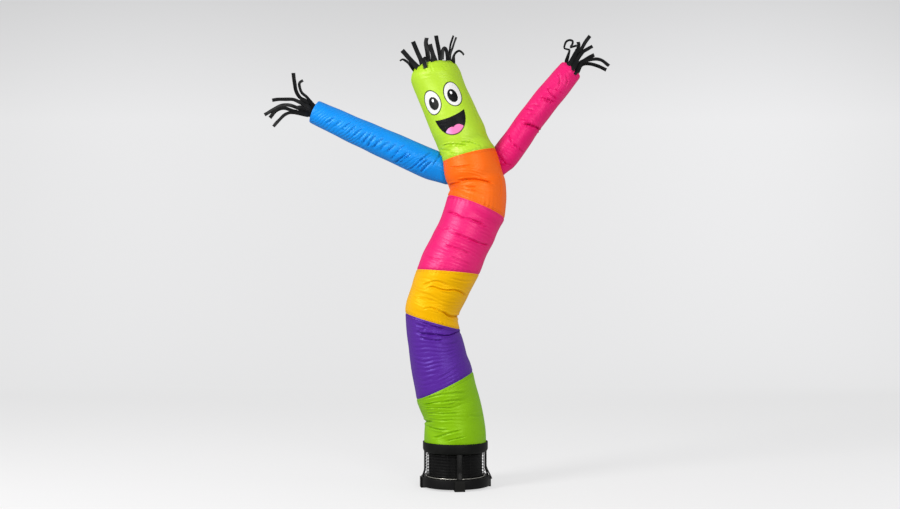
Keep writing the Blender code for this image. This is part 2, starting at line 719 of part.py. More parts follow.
def build_guard(collection):
    """Wire guard: hoops and upright rods in one welded basket, cut as a grid from a cylinder."""
    bottom = BASE_TOP + GAP + HOOP_WIRE + GAP
    rod = GUARD_WIRE / GUARD_RADIUS
    span = (2 * math.pi / GUARD_RODS - rod) / GUARD_SPANS
    turns = []
    for i in range(GUARD_RODS):
        start = 2 * math.pi * i / GUARD_RODS + BLOWER_TURN + math.pi / GUARD_RODS - rod / 2
        turns += [start] + [start + rod + span * k for k in range(GUARD_SPANS)]
    pitch = (GUARD_TOP - bottom) / GUARD_HOOPS
    heights = [bottom]
    for i in range(GUARD_HOOPS):
        low = bottom + pitch * (i + 0.5)
        heights += [low, low + GUARD_WIRE]
    heights.append(GUARD_TOP)
    bm = bmesh.new()
    grid = [[bm.verts.new(at_angle(turn, GUARD_RADIUS, z)) for turn in turns] for z in heights]
    for level in range(len(heights) - 1):
        is_hoop = level % 2 == 1
        for i in range(len(turns)):
            is_rod = i % (GUARD_SPANS + 1) == 0
            if is_hoop or is_rod:
                j = (i + 1) % len(turns)
                bm.faces.new((grid[level][i], grid[level][j], grid[level + 1][j], grid[level + 1][i]))
    loose = [vert for vert in bm.verts if not vert.link_faces]
    bmesh.ops.delete(bm, geom=loose, context="VERTS")
    guard = add_mesh("blower_guard", bm, "black_paint", collection)
    wall = guard.modifiers.new("wire", "SOLIDIFY")
    wall.thickness = GUARD_WIRE
    wall.offset = 0.0


def build_collar(collection):
    """Outlet collar with a ledge inside, on which the hem stands."""
    profile = (
        (COLLAR_INSIDE, COLLAR_TOP - COLLAR_EDGE),
        (COLLAR_INSIDE + COLLAR_EDGE, COLLAR_TOP),
        (COLLAR_RADIUS - COLLAR_EDGE, COLLAR_TOP),
        (COLLAR_RADIUS, COLLAR_TOP - COLLAR_EDGE),
        (COLLAR_RADIUS, COLLAR_BOTTOM + COLLAR_FLARE),
        (COLLAR_FOOT, COLLAR_BOTTOM),
        (LEDGE_INSIDE, COLLAR_BOTTOM),
        (LEDGE_INSIDE, LEDGE_TOP),
        (COLLAR_INSIDE, LEDGE_TOP),
    )
    turned("blower_collar", profile, "black_plastic", collection, closed=True)


def build_cord(collection):
    path = smooth_path([Vector(p) for p in CORD_POINTS], CORD_STEPS)
    curve = bpy.data.curves.new("draw_cord", "CURVE")
    curve.dimensions = "3D"
    curve.bevel_depth = CORD / 2
    curve.bevel_resolution = 2
    curve.use_fill_caps = True
    spline = curve.splines.new("POLY")
    spline.points.add(len(path) - 1)
    for point, place in zip(spline.points, path):
        point.co = (*place, 1.0)
    curve.materials.append(material_for("black_nylon"))
    cord = bpy.data.objects.new("draw_cord", curve)
    collection.objects.link(cord)


def build_blower(collection):
    build_base(collection)
    for i, place in enumerate(("front", "right", "back", "left")):
        turn = BLOWER_TURN + i * math.pi / 2
        build_foot("blower_foot_" + place, turn, collection)
        build_strut("blower_strut_" + place, turn, collection)
    build_housing(collection)
    build_hoop(collection)
    build_guard(collection)
    build_collar(collection)
    build_cord(collection)


def main():
    for old in list(bpy.data.objects):
        bpy.data.objects.remove(old)
    parts = bpy.data.collections.new("air_dancer")
    cutters = bpy.data.collections.new("cutters")
    for collection in (parts, cutters):
        bpy.context.scene.collection.children.link(collection)
    build_blower(parts)
    panels, core = build_tube(parts, cutters)
    build_top_cap(parts)
    ported = (panels["tube_orange"], panels["tube_lime"])
    build_sleeve("arm_blue", BLUE_SLEEVE, "blue", core, ported, parts, cutters)
    build_sleeve("arm_pink", PINK_SLEEVE, "pink", core, ported, parts, cutters)
    build_wrist_cap("wrist_cap_blue", BLUE_SLEEVE, "blue", parts)
    build_wrist_cap("wrist_cap_pink", PINK_SLEEVE, "pink", parts)
    build_hair(parts)
    build_streamers("hand_fringe_blue", BLUE_SLEEVE, BLUE_STREAMERS, 0.0, parts)
    build_streamers("hand_fringe_pink", PINK_SLEEVE, PINK_STREAMERS, PINK_ROOT_SHIFT, parts)


main()
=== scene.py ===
"""Inflatable air dancer on its blower: nylon panels and sleeves with their creases and seams, a printed
face, strips of black nylon for hair and hands, and a wire-caged fan under a plastic collar.

Metres, +Z up, the face looks along -Y. Cloth is placed by two numbers: facing, the way that a spot of
the cloth looks, in degrees from the front towards +X, and up, its distance along the middle of its
tube from the lower end, or along its sleeve from the end inside the tube.
"""

import math

import bmesh
import bpy
import numpy as np
from mathutils import Matrix, Vector
from mathutils.bvhtree import BVHTree
from mathutils.kdtree import KDTree


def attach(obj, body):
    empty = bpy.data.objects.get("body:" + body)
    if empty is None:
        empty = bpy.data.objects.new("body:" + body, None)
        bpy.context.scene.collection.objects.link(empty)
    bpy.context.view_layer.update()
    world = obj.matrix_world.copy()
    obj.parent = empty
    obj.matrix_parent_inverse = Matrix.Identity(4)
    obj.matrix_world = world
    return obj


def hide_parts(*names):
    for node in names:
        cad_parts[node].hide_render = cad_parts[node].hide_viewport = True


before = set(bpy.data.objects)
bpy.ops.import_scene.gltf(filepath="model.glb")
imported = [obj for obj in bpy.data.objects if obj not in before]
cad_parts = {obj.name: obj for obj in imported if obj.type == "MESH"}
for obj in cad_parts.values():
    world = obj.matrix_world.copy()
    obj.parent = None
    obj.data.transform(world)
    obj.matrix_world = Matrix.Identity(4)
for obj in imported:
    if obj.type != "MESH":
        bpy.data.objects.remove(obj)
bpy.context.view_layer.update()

# ---- sizes

CLOTH = 0.0008  # wall of the nylon
ROW = 0.0019  # height of a row of faces of the cloth
AROUND = 176  # faces round the tube
SLEEVE_AROUND = 112  # faces round a sleeve
GIRTH_RADIUS = 0.112  # radius by which a facing becomes a distance round the tube
SLEEVE_RADIUS = 0.052  # the same for a sleeve
NEAR = 0.004  # half of the stretch over which a smooth line's direction is read

SECTIONS = (
    # name, left x, left z, right x, right z, y
    ("hem", -0.0465, 0.1348, 0.1815, 0.1348, 0.000),
    ("collar", -0.0485, 0.168, 0.1840, 0.168, 0.000),
    ("low_pinch", -0.050, 0.240, 0.179, 0.231, -0.002),
    ("green_middle", -0.069, 0.294, 0.163, 0.313, -0.004),
    ("green_purple", -0.078, 0.325, 0.133, 0.428, -0.007),
    ("purple_low", -0.098, 0.440, 0.108, 0.508, -0.011),
    ("purple_high", -0.112, 0.538, 0.090, 0.568, -0.015),
    ("purple_yellow", -0.120, 0.648, 0.085, 0.587, -0.018),
    ("waist_pinch", -0.117, 0.687, 0.082, 0.638, -0.021),
    ("yellow_middle", -0.103, 0.734, 0.114, 0.707, -0.024),
    ("yellow_pink", -0.078, 0.811, 0.157, 0.792, -0.026),
    ("pink_low", -0.053, 0.877, 0.184, 0.858, -0.027),
    ("pink_middle", -0.020, 0.942, 0.211, 0.911, -0.027),
    ("pink_high", 0.012, 1.004, 0.239, 0.972, -0.026),
    ("pink_orange", 0.039, 1.091, 0.253, 1.004, -0.025),
    ("orange_low", 0.043, 1.114, 0.261, 1.068, -0.024),
    ("armpit", 0.034, 1.137, 0.261, 1.114, -0.024),
    ("orange_high", 0.022, 1.175, 0.255, 1.167, -0.025),
    ("orange_lime", 0.015, 1.218, 0.220, 1.271, -0.028),
    ("neck", 0.005, 1.267, 0.202, 1.301, -0.030),
    ("chin", -0.018, 1.318, 0.177, 1.362, -0.033),
    ("face_middle", -0.048, 1.396, 0.145, 1.431, -0.036),
    ("brow", -0.079, 1.472, 0.113, 1.497, -0.037),
    ("head_top", -0.1005, 1.528, 0.098, 1.536, -0.036),
    ("shoulder", -0.098, 1.554, 0.088, 1.567, -0.035),
    ("corner", -0.090, 1.571, 0.075, 1.590, -0.035),
    ("top_seam", -0.083, 1.581, 0.067, 1.600, -0.035),
)

PANELS = (
    # piece, node, lower seam, upper seam, nylon
    ("green_panel", "tube_green", "hem", "green_purple", "green"),
    ("purple_panel", "tube_purple", "green_purple", "purple_yellow", "purple"),
    ("yellow_panel", "tube_yellow", "purple_yellow", "yellow_pink", "yellow"),
    ("pink_panel", "tube_pink", "yellow_pink", "pink_orange", "pink"),
    ("orange_panel", "tube_orange", "pink_orange", "orange_lime", "orange"),
    ("head_panel", "tube_lime", "orange_lime", "top_seam", "lime"),
)

# Broad folds of the tube: section, above it, facing, fall from left to right, reach round, depth, width
FOLDS = (
    ("low_pinch", 0.000, -80, 0.00, 55, 0.003, 0.022),
    ("low_pinch", -0.040, -30, 0.05, 40, 0.005, 0.020),
    ("green_middle", 0.010, 25, -0.03, 60, 0.004, 0.020),
    ("purple_yellow", -0.030, 40, 0.02, 50, 0.005, 0.020),
    ("waist_pinch", -0.004, 75, 0.03, 60, 0.004, 0.022),
    ("waist_pinch", 0.040, -25, 0.04, 45, 0.005, 0.020),
    ("yellow_middle", 0.030, 10, 0.01, 60, 0.004, 0.020),
    ("pink_low", 0.020, -20, 0.03, 60, 0.004, 0.022),
    ("pink_high", 0.015, 20, 0.04, 60, 0.005, 0.022),
    ("armpit", 0.010, -20, -0.03, 70, 0.010, 0.022),
    ("armpit", -0.030, -50, 0.03, 40, 0.006, 0.018),
    ("neck", 0.000, 10, -0.02, 80, 0.005, 0.018),
    ("armpit", 0.030, 170, 0.02, 80, 0.008, 0.024),
    ("purple_low", 0.020, 180, -0.03, 80, 0.006, 0.024),
    ("pink_middle", 0.000, 190, 0.03, 70, 0.006, 0.024),
    ("chin", 0.010, 175, 0.02, 70, 0.005, 0.024),
)

BLUE_SLEEVE = (
    # x, y, z, height, depth
    (0.100, -0.008, 1.179, 0.104, 0.085),
    (0.0395, -0.008, 1.1945, 0.112, 0.088),
    (0.0075, -0.008, 1.2045, 0.1155, 0.095),
    (-0.0285, -0.009, 1.216, 0.117, 0.103),
    (-0.095, -0.012, 1.2445, 0.114, 0.111),
    (-0.162, -0.015, 1.275, 0.1115, 0.1115),
    (-0.2925, -0.019, 1.3335, 0.1035, 0.1035),
    (-0.400, -0.020, 1.383, 0.096, 0.096),
    (-0.471, -0.020, 1.416, 0.0905, 0.0905),
)
PINK_SLEEVE = (
    # x, y, z, height, depth
    (0.180, 0.002, 1.149, 0.060, 0.060),
    (0.2225, 0.002, 1.198, 0.076, 0.070),
    (0.246, 0.002, 1.2315, 0.103, 0.086),
    (0.2705, 0.001, 1.264, 0.108, 0.096),
    (0.305, -0.002, 1.3105, 0.105, 0.103),
    (0.3585, -0.005, 1.388, 0.102, 0.102),
    (0.4140, -0.007, 1.4605, 0.1015, 0.1015),
    (0.4675, -0.008, 1.526, 0.0985, 0.0985),
    (0.514, -0.008, 1.582, 0.0915, 0.0915),
)

# Creases, each a trough along a line of (facing, up) with the cloth swelling on both sides of it
CREASES = {
    "green_panel": (
        # depth, width, line
        (0.0030, 0.006, ((-62, 0.204), (-25, 0.202), (10, 0.195), (34, 0.188))),
        (0.0026, 0.005, ((-56, 0.176), (-20, 0.174), (10, 0.169))),
        (0.0026, 0.005, ((-54, 0.147), (-15, 0.149), (14, 0.150))),
        (0.0020, 0.005, ((-60, 0.121), (-20, 0.121), (6, 0.127))),
        (0.0030, 0.006, ((-48, 0.240), (-18, 0.233), (7, 0.220), (40, 0.206))),
        (0.0060, 0.009, ((-110, 0.101), (-84, 0.103), (-60, 0.108), (-42, 0.115))),
        (0.0036, 0.005, ((-70, 0.090), (-35, 0.085), (-10, 0.088))),
        (0.0040, 0.005, ((-50, 0.054), (-30, 0.062), (-10, 0.077), (14, 0.090))),
        (0.0030, 0.004, ((-18, 0.046), (0, 0.056), (20, 0.066))),
        (0.0024, 0.005, ((62, 0.050), (66, 0.070), (64, 0.096))),
        (0.0020, 0.007, ((30, 0.140), (60, 0.134), (90, 0.140))),
        (0.0040, 0.007, ((120, 0.110), (160, 0.120), (205, 0.105))),
        (0.0032, 0.006, ((150, 0.170), (190, 0.182), (225, 0.172))),
        (0.0030, 0.006, ((140, 0.058), (170, 0.070), (215, 0.064))),
    ),
    "purple_panel": (
        (0.0036, 0.005, ((-38, 0.471), (-21, 0.472), (-8, 0.469))),
        (0.0040, 0.005, ((-22, 0.481), (2, 0.478), (28, 0.473))),
        (0.0064, 0.006, (
            (-44, 0.453), (-18, 0.448), (6, 0.445), (24, 0.438), (42, 0.439),
            (60, 0.454), (84, 0.480),
        )),
        (0.0034, 0.004, ((-36, 0.452), (-24, 0.459), (-12, 0.467))),
        (0.0032, 0.005, ((-32, 0.440), (-6, 0.428), (20, 0.419))),
        (0.0020, 0.007, ((10, 0.402), (34, 0.396), (60, 0.402))),
        (0.0018, 0.008, ((-10, 0.288), (14, 0.292), (40, 0.300))),
        (0.0044, 0.007, ((130, 0.455), (165, 0.440), (205, 0.452))),
        (0.0032, 0.006, ((150, 0.350), (185, 0.362), (230, 0.352))),
        (0.0030, 0.006, ((120, 0.300), (150, 0.310), (190, 0.302))),
    ),
    "yellow_panel": (
        (0.0034, 0.006, ((-44, 0.622), (-30, 0.634), (-12, 0.645), (13, 0.633))),
        (0.0058, 0.005, (
            (-30, 0.606), (-18, 0.623), (0, 0.617), (15, 0.615), (26, 0.619),
            (42, 0.616), (74, 0.600),
        )),
        (0.0040, 0.005, ((-19, 0.530), (-4, 0.545), (12, 0.541), (39, 0.535))),
        (0.0070, 0.007, ((24, 0.540), (40, 0.531), (66, 0.532), (104, 0.534))),
        (0.0018, 0.007, ((-60, 0.570), (-30, 0.574), (0, 0.570))),
        (0.0018, 0.006, ((10, 0.660), (40, 0.655), (70, 0.660))),
        (0.0046, 0.007, ((125, 0.560), (165, 0.572), (210, 0.560))),
        (0.0034, 0.006, ((150, 0.630), (190, 0.622), (235, 0.632))),
    ),
    "pink_panel": (
        (0.0048, 0.005, (
            (-66, 0.909), (-42, 0.908), (-26, 0.901), (-14, 0.894), (-2, 0.894),
            (15, 0.887), (34, 0.878),
        )),
        (0.0026, 0.004, ((6, 0.880), (20, 0.877), (36, 0.873))),
        (0.0048, 0.006, ((-22, 0.835), (8, 0.820), (36, 0.809), (68, 0.806))),
        (0.0034, 0.006, ((-26, 0.786), (8, 0.773), (30, 0.759))),
        (0.0032, 0.006, ((-8, 0.746), (11, 0.734), (40, 0.717))),
        (0.0022, 0.006, ((-70, 0.850), (-50, 0.846), (-30, 0.850))),
        (0.0022, 0.007, ((-60, 0.740), (-36, 0.732), (-16, 0.724))),
        (0.0046, 0.007, ((130, 0.840), (170, 0.826), (215, 0.836))),
        (0.0036, 0.006, ((150, 0.900), (185, 0.892), (230, 0.904))),
        (0.0034, 0.006, ((120, 0.752), (160, 0.760), (205, 0.748))),
    ),
    "orange_panel": (
        (0.0050, 0.005, ((-88, 1.028), (-66, 1.030), (-47, 1.033), (-26, 1.042))),
        (0.0072, 0.006, ((-44, 1.040), (-28, 1.046), (-16, 1.050), (8, 1.050), (34, 1.041))),
        (0.0028, 0.005, ((-42, 1.014), (-22, 1.018), (0, 1.020))),
        (0.0020, 0.005, ((-30, 0.996), (-10, 1.000), (12, 0.999))),
        (0.0022, 0.007, ((48, 1.000), (54, 1.040), (52, 1.090))),
        (0.0024, 0.006, ((-50, 1.110), (-26, 1.104), (0, 1.108))),
        (0.0050, 0.007, ((130, 1.060), (170, 1.072), (215, 1.058))),
        (0.0034, 0.006, ((150, 1.010), (185, 1.000), (225, 1.012))),
    ),
    "head_panel": (
        (0.0046, 0.005, ((-60, 1.203), (-40, 1.204), (-24, 1.200), (-8, 1.192), (6, 1.180))),
        (0.0034, 0.005, ((-74, 1.198), (-56, 1.190), (-36, 1.180))),
        (0.0032, 0.005, ((-50, 1.181), (-38, 1.173), (-22, 1.163))),
        (0.0044, 0.005, ((-10, 1.203), (4, 1.199), (15, 1.193), (32, 1.169))),
        (0.0020, 0.006, ((34, 1.226), (56, 1.214), (78, 1.208))),
        (0.0020, 0.010, ((50, 1.260), (56, 1.330), (60, 1.400))),
        (0.0022, 0.006, ((-40, 1.512), (-28, 1.498), (-20, 1.480))),
        (0.0024, 0.005, ((-14, 1.512), (-10, 1.496), (-8, 1.476))),
        (0.0020, 0.005, ((12, 1.514), (16, 1.500), (22, 1.484))),
        (0.0020, 0.006, ((44, 1.512), (50, 1.494), (54, 1.476))),
        (0.0046, 0.007, ((125, 1.215), (165, 1.228), (210, 1.214))),
        (0.0036, 0.007, ((150, 1.300), (185, 1.310), (225, 1.298))),
        (0.0034, 0.007, ((130, 1.400), (170, 1.392), (215, 1.404))),
        (0.0024, 0.006, ((150, 1.512), (156, 1.490), (160, 1.470))),
        (0.0024, 0.006, ((205, 1.512), (202, 1.494), (198, 1.474))),
    ),
    "blue_sleeve": (
        (0.0046, 0.0068, ((-74, 0.257), (-44, 0.245), (-23, 0.235), (4, 0.224))),
        (0.0036, 0.0054, ((-58, 0.241), (-24, 0.224), (1, 0.210))),
        (0.0040, 0.0054, ((-49, 0.168), (-19, 0.160), (8, 0.143))),
        (0.0046, 0.0068, ((-56, 0.155), (-22, 0.142), (7, 0.127))),
        (0.0036, 0.0068, ((-14, 0.173), (10, 0.160), (42, 0.143))),
        (0.0036, 0.0068, ((-47, 0.327), (-19, 0.317), (13, 0.300))),
        (0.0042, 0.0068, ((-49, 0.354), (-14, 0.342), (14, 0.328))),
        (0.0040, 0.0068, ((-53, 0.375), (-16, 0.369), (13, 0.358))),
        (0.0034, 0.0068, ((-51, 0.397), (-18, 0.389), (11, 0.378))),
        (0.0034, 0.0068, ((-37, 0.438), (-2, 0.425), (23, 0.413))),
        (0.0030, 0.0068, ((-47, 0.415), (-18, 0.408), (9, 0.398))),
        (0.0032, 0.0068, ((-39, 0.460), (-12, 0.452), (11, 0.443))),
        (0.0028, 0.0068, ((-35, 0.485), (-8, 0.478), (17, 0.468))),
        (0.0030, 0.0068, ((-34, 0.517), (-10, 0.507), (13, 0.497))),
        (0.0032, 0.0068, ((-37, 0.552), (-14, 0.540), (15, 0.526))),
        (0.0036, 0.0068, ((-13, 0.122), (22, 0.110), (64, 0.103))),
        (0.0034, 0.0068, ((-71, 0.196), (-32, 0.179), (3, 0.164))),
        (0.0032, 0.0068, ((-45, 0.300), (-14, 0.288), (17, 0.273))),
        (0.0030, 0.0054, ((-29, 0.267), (0, 0.257), (25, 0.244))),
        (0.0026, 0.0054, ((-61, 0.275), (-36, 0.268), (-9, 0.258))),
        (0.0034, 0.007, ((120, 0.180), (160, 0.196), (205, 0.184))),
        (0.0030, 0.007, ((110, 0.330), (150, 0.342), (200, 0.330))),
        (0.0028, 0.007, ((130, 0.460), (165, 0.472), (210, 0.462))),
    ),
    "pink_sleeve": (
        (0.0044, 0.005, ((30, 0.380), (9, 0.385), (-11, 0.392), (-46, 0.402))),
        (0.0030, 0.004, ((18, 0.375), (-6, 0.380), (-38, 0.390))),
        (0.0040, 0.005, ((34, 0.428), (3, 0.417), (-28, 0.414), (-52, 0.418))),
        (0.0078, 0.006, ((20, 0.258), (-2, 0.268), (-26, 0.275), (-62, 0.282), (-104, 0.282))),
        (0.0030, 0.004, ((42, 0.270), (21, 0.277), (3, 0.282))),
        (0.0030, 0.005, ((46, 0.198), (21, 0.184), (3, 0.181))),
        (0.0036, 0.005, ((8, 0.176), (-23, 0.177), (-64, 0.176))),
        (0.0040, 0.004, ((34, 0.112), (-1, 0.105), (-24, 0.100))),
        (0.0040, 0.004, ((14, 0.100), (-28, 0.099), (-62, 0.113))),
        (0.0028, 0.005, ((0, 0.440), (-30, 0.442), (-52, 0.448))),
        (0.0032, 0.006, ((36, 0.496), (6, 0.480), (-8, 0.456))),
        (0.0030, 0.006, ((4, 0.508), (-24, 0.494), (-33, 0.468))),
        (0.0028, 0.005, ((60, 0.311), (35, 0.320), (10, 0.325))),
        (0.0026, 0.004, ((32, 0.298), (12, 0.309), (-10, 0.316))),
        (0.0026, 0.005, ((42, 0.338), (17, 0.348), (-4, 0.352))),
        (0.0020, 0.007, ((40, 0.236), (56, 0.250), (84, 0.262))),
        (0.0028, 0.005, ((24, 0.086), (-6, 0.084), (-30, 0.088))),
        (0.0038, 0.007, ((120, 0.240), (160, 0.254), (205, 0.240))),
        (0.0030, 0.007, ((130, 0.370), (170, 0.382), (220, 0.370))),
    ),
}

# Fields of fine ripples: facing, up, reach round, reach up, pitch, depth, fall from left to right
RIPPLES = {
    "green_panel": (
        (-22, 0.168, 42, 0.060, 0.0125, 0.0007, -0.012),
        (170, 0.150, 60, 0.070, 0.0150, 0.0008, 0.015),
    ),
    "purple_panel": (
        (-8, 0.370, 48, 0.062, 0.0150, 0.0011, 0.022),
        (-30, 0.300, 34, 0.030, 0.0150, 0.0007, 0.020),
        (180, 0.390, 60, 0.070, 0.0160, 0.0009, -0.012),
    ),
    "yellow_panel": (
        (-10, 0.600, 70, 0.060, 0.0140, 0.0006, 0.020),
        (30, 0.560, 40, 0.030, 0.0110, 0.0006, -0.015),
        (190, 0.600, 60, 0.060, 0.0160, 0.0008, 0.020),
    ),
    "pink_panel": (
        (18, 0.830, 62, 0.090, 0.0135, 0.0008, 0.032),
        (-10, 0.740, 50, 0.040, 0.0125, 0.0006, 0.030),
        (180, 0.820, 60, 0.080, 0.0160, 0.0009, -0.020),
    ),
    "orange_panel": (
        (-30, 1.010, 50, 0.028, 0.0095, 0.0007, -0.010),
        (10, 1.075, 60, 0.030, 0.0120, 0.0005, 0.012),
        (180, 1.040, 60, 0.060, 0.0150, 0.0008, 0.015),
    ),
    "head_panel": (
        (-30, 1.190, 50, 0.026, 0.0100, 0.0008, 0.020),
        (20, 1.200, 50, 0.026, 0.0110, 0.0006, 0.030),
        (180, 1.240, 60, 0.050, 0.0150, 0.0008, 0.015),
    ),
    "blue_sleeve": (
        (-14, 0.345, 40, 0.085, 0.0130, 0.0015, 0.030),
        (-10, 0.500, 32, 0.075, 0.0120, 0.0012, 0.030),
        (-26, 0.195, 44, 0.060, 0.0110, 0.0015, 0.036),
        (170, 0.330, 60, 0.160, 0.0190, 0.0009, -0.030),
    ),
    "pink_sleeve": (
        (-20, 0.330, 70, 0.080, 0.0190, 0.0007, -0.020),
        (0, 0.120, 70, 0.040, 0.0130, 0.0009, -0.018),
        (170, 0.300, 60, 0.140, 0.0190, 0.0009, 0.020),
    ),
}

# Gathers along the sewn ends of each piece
GATHERS = {
    # depth and length at the lower end and at the upper end, and pleats round
    "green_panel": (0.0004, 0.010, 0.0010, 0.014, 44),
    "purple_panel": (0.0010, 0.014, 0.0011, 0.014, 42),
    "yellow_panel": (0.0011, 0.014, 0.0010, 0.014, 43),
    "pink_panel": (0.0010, 0.014, 0.0010, 0.014, 40),
    "orange_panel": (0.0013, 0.022, 0.0010, 0.014, 44),
    "head_panel": (0.0010, 0.014, 0.0017, 0.022, 38),
    "blue_sleeve": (0.0012, 0.018, 0.0010, 0.014, 22),
    "pink_sleeve": (0.0012, 0.018, 0.0012, 0.016, 22),
}
SEAM_DEPTH = 0.0016  # how far a seam draws the cloth in
SEAM_REACH = 0.0035  # how far from the seam it does so
SEAM_FLAT = 0.003  # strip along a seam in which its pleats die out
SWELL = 0.0006  # soft unevenness of the filled cloth
TUBE_CREASE = 0.82  # depth of the tube's creases, as a share of the table's
SLEEVE_CREASE = 1.1  # the narrow sleeves crease more sharply than the tube
CREASE_WIDTH = 0.74  # width of all creases, as a share of the table's
CREASE_ENDS = 0.16  # share of a crease's length over which an end fades out
CREASE_FAINT = 0.08  # share of the depth that is left at its very ends
CREASE_BOTTOM = 0.0005  # radius of the rounding at its bottom
CREASE_LIPS = 0.46  # height of the swelling beside it, as a share of its depth
RIPPLE_DEPTH = 1.35  # depth of all ripples, as a share of the table's
PORT_PULL, PORT_REACH = 0.0026, 0.007  # how far a sleeve's seam draws the tube's cloth in, and its reach
PORT_PLEAT, PORT_PLEAT_REACH = 0.0010, 0.020  # pleats round a sleeve's seam

# ---- materials


def linear(code):
    """An sRGB hex colour as linear RGBA."""
    shades = [int(code[i : i + 2], 16) / 255 for i in (1, 3, 5)]
    return (*(s / 12.92 if s <= 0.04045 else ((s + 0.055) / 1.055) ** 2.4 for s in shades), 1.0)


def fill(tree, socket, value):
    """Sets a socket to a value, or leads a node's output into it."""
    if isinstance(value, bpy.types.NodeSocket):
        tree.links.new(value, socket)
    else:
        socket.default_value = value


def node(tree, kind, inputs=None, out=0, **settings):
    """Adds a node, sets it up, fills its inputs, and returns one of its outputs by number or name."""
    made = tree.nodes.new("ShaderNode" + kind)
    for name, value in settings.items():
        setattr(made, name, value)
    for name, value in (inputs or {}).items():
        fill(tree, made.inputs[name], value)
    return made.outputs[out]


def feed(tree, **sockets):
    """Fills sockets of a material's shader, named with _ for a space."""
    for name, value in sockets.items():
        fill(tree, tree.nodes["Principled BSDF"].inputs[name.replace("_", " ")], value)


def new_material(name, **sockets):
    """A material and its node tree, with the sockets of its shader that are the same all over."""
    material = bpy.data.materials.new(name)
    material.use_nodes = True
    feed(material.node_tree, **sockets)
    return material, material.node_tree


def paint(tree, under, colour, mask):
    """Colour laid over another where the mask is 1."""
    return node(tree, "Mix", {0: mask, 6: under, 7: colour}, out=2, data_type="RGBA")


def ellipse(tree, cloth, x, y, half_x, half_y, turn):
    """1 inside an ellipse printed on the cloth, 0 outside."""
    place = node(
        tree,
        "Mapping",
        {
            "Vector": cloth,
            "Location": (x, y, 0),
            "Rotation": (0, 0, math.radians(turn)),
            "Scale": (half_x, half_y, 1),
        },
        vector_type="TEXTURE",
    )
    flat = node(tree, "VectorMath", {0: place, 1: (1, 1, 0)}, operation="MULTIPLY")
    reach = node(tree, "VectorMath", {0: flat}, out="Value", operation="LENGTH")
    return node(tree, "MapRange", {"Value": reach, "From Min": 1.02, "From Max": 0.98})


# The face printed on the head panel. Places are on the cloth: distance round from the front, and up
EYES = (
    # x, y, half length, half width and turn of the white, of the pupil and of the small light in it,
    # and the pupil's ink, lighter in the left eye as painted light
    (
        (-0.0694, 1.3702, 0.0446, 0.0374, 58),
        (-0.0641, 1.3654, 0.0252, 0.0230, 60),
        (-0.0620, 1.3768, 0.0066, 0.0050, 60),
        # lighter than the right pupil's black: painted light
        "#1a1a1a",
    ),
    (
        (0.0352, 1.3884, 0.0482, 0.0357, 62),
        (0.0303, 1.3819, 0.0272, 0.0216, 65),
        (0.0286, 1.3939, 0.0062, 0.0050, 60),
        "#0b0b0e",
    ),
)
EYE_LINE = 0.0038  # width of the line printed round an eye
MOUTH = (-0.0189, 1.3270, 0.0937, 0.0714, 77)
UPPER_LIP = (2.233, 0.2184, 1.3068)  # up = a x x + b x + c
TONGUE = ((-0.0425, 1.2444, 0.0297, 0.0182, 32), (-0.0046, 1.2293, 0.0421, 0.0328, 78))
TONGUE_EDGE = 0.955  # the tongue's outer edge, as a share of the mouth
EYE_LINE_INK, EYE_WHITE_INK, EYE_LIGHT_INK, MOUTH_INK = "#1a2408", "#e6e6e6", "#f0f0f4", "#0d0d10"
TONGUE_LEFT_INK, TONGUE_INK = "#e3b4ee", "#f480bc"


def print_face(tree, cloth, under):
    """Eyes, mouth and tongue in matt ink on the lime cloth. Returns the colour, and where the ink lies."""
    colour = under
    eyes = []
    for white, pupil, light, pupil_ink_and_light in EYES:
        x, y, long, wide, turn = white
        eyes.append(ellipse(tree, cloth, x, y, long + EYE_LINE, wide + EYE_LINE, turn))
        colour = paint(tree, colour, linear(EYE_LINE_INK), eyes[-1])
        for shape, ink in ((white, EYE_WHITE_INK), (pupil, pupil_ink_and_light), (light, EYE_LIGHT_INK)):
            colour = paint(tree, colour, linear(ink), ellipse(tree, cloth, *shape))

    # The mouth is the part of an ellipse that lies below the curve of the upper lip
    away, up = (node(tree, "SeparateXYZ", {0: cloth}, out=axis) for axis in (0, 1))
    a, b, c = UPPER_LIP
    slope = node(tree, "Math", {0: away, 1: a, 2: b}, operation="MULTIPLY_ADD")
    lip = node(tree, "Math", {0: slope, 1: away, 2: c}, operation="MULTIPLY_ADD")
    below = node(tree, "Math", {0: lip, 1: up}, operation="SUBTRACT")
    below = node(tree, "MapRange", {"Value": below, "From Min": -0.0006, "From Max": 0.0006})
    mouth = ellipse(tree, cloth, *MOUTH)
    mouth = node(tree, "Math", {0: mouth, 1: below}, operation="MULTIPLY")
    colour = paint(tree, colour, linear(MOUTH_INK), mouth)

    # The tongue is two ellipses, kept inside the mouth
    x, y, long, wide, turn = MOUTH
    inside = ellipse(tree, cloth, x, y, long * TONGUE_EDGE, wide * TONGUE_EDGE, turn)
    lobes = [ellipse(tree, cloth, *lobe) for lobe in TONGUE]
    tongue = node(tree, "Math", {0: lobes[0], 1: lobes[1]}, operation="MAXIMUM")
    tongue = node(tree, "Math", {0: tongue, 1: inside}, operation="MULTIPLY")
    rightwards = node(tree, "MapRange", {"Value": away, "From Min": -0.062, "From Max": -0.030})
    flesh = paint(tree, linear(TONGUE_LEFT_INK), linear(TONGUE_INK), rightwards)
    ink = node(tree, "Math", {0: eyes[0], 1: eyes[1]}, operation="MAXIMUM")
    ink = node(tree, "Math", {0: ink, 1: mouth}, operation="MAXIMUM")
    return paint(tree, colour, flesh, tongue), ink


NYLON_IOR = 1.53
SQUARE = 0.005  # squares of the ripstop weave
STITCH, STITCH_PITCH = 0.0035, 0.0047  # a stitch, and from one stitch to the next
STITCH_ROWS = (0.0045, 0.0090)  # two rows of stitches, at these distances from every seam
GLOSS = 0.62  # shine of the nylon's coating


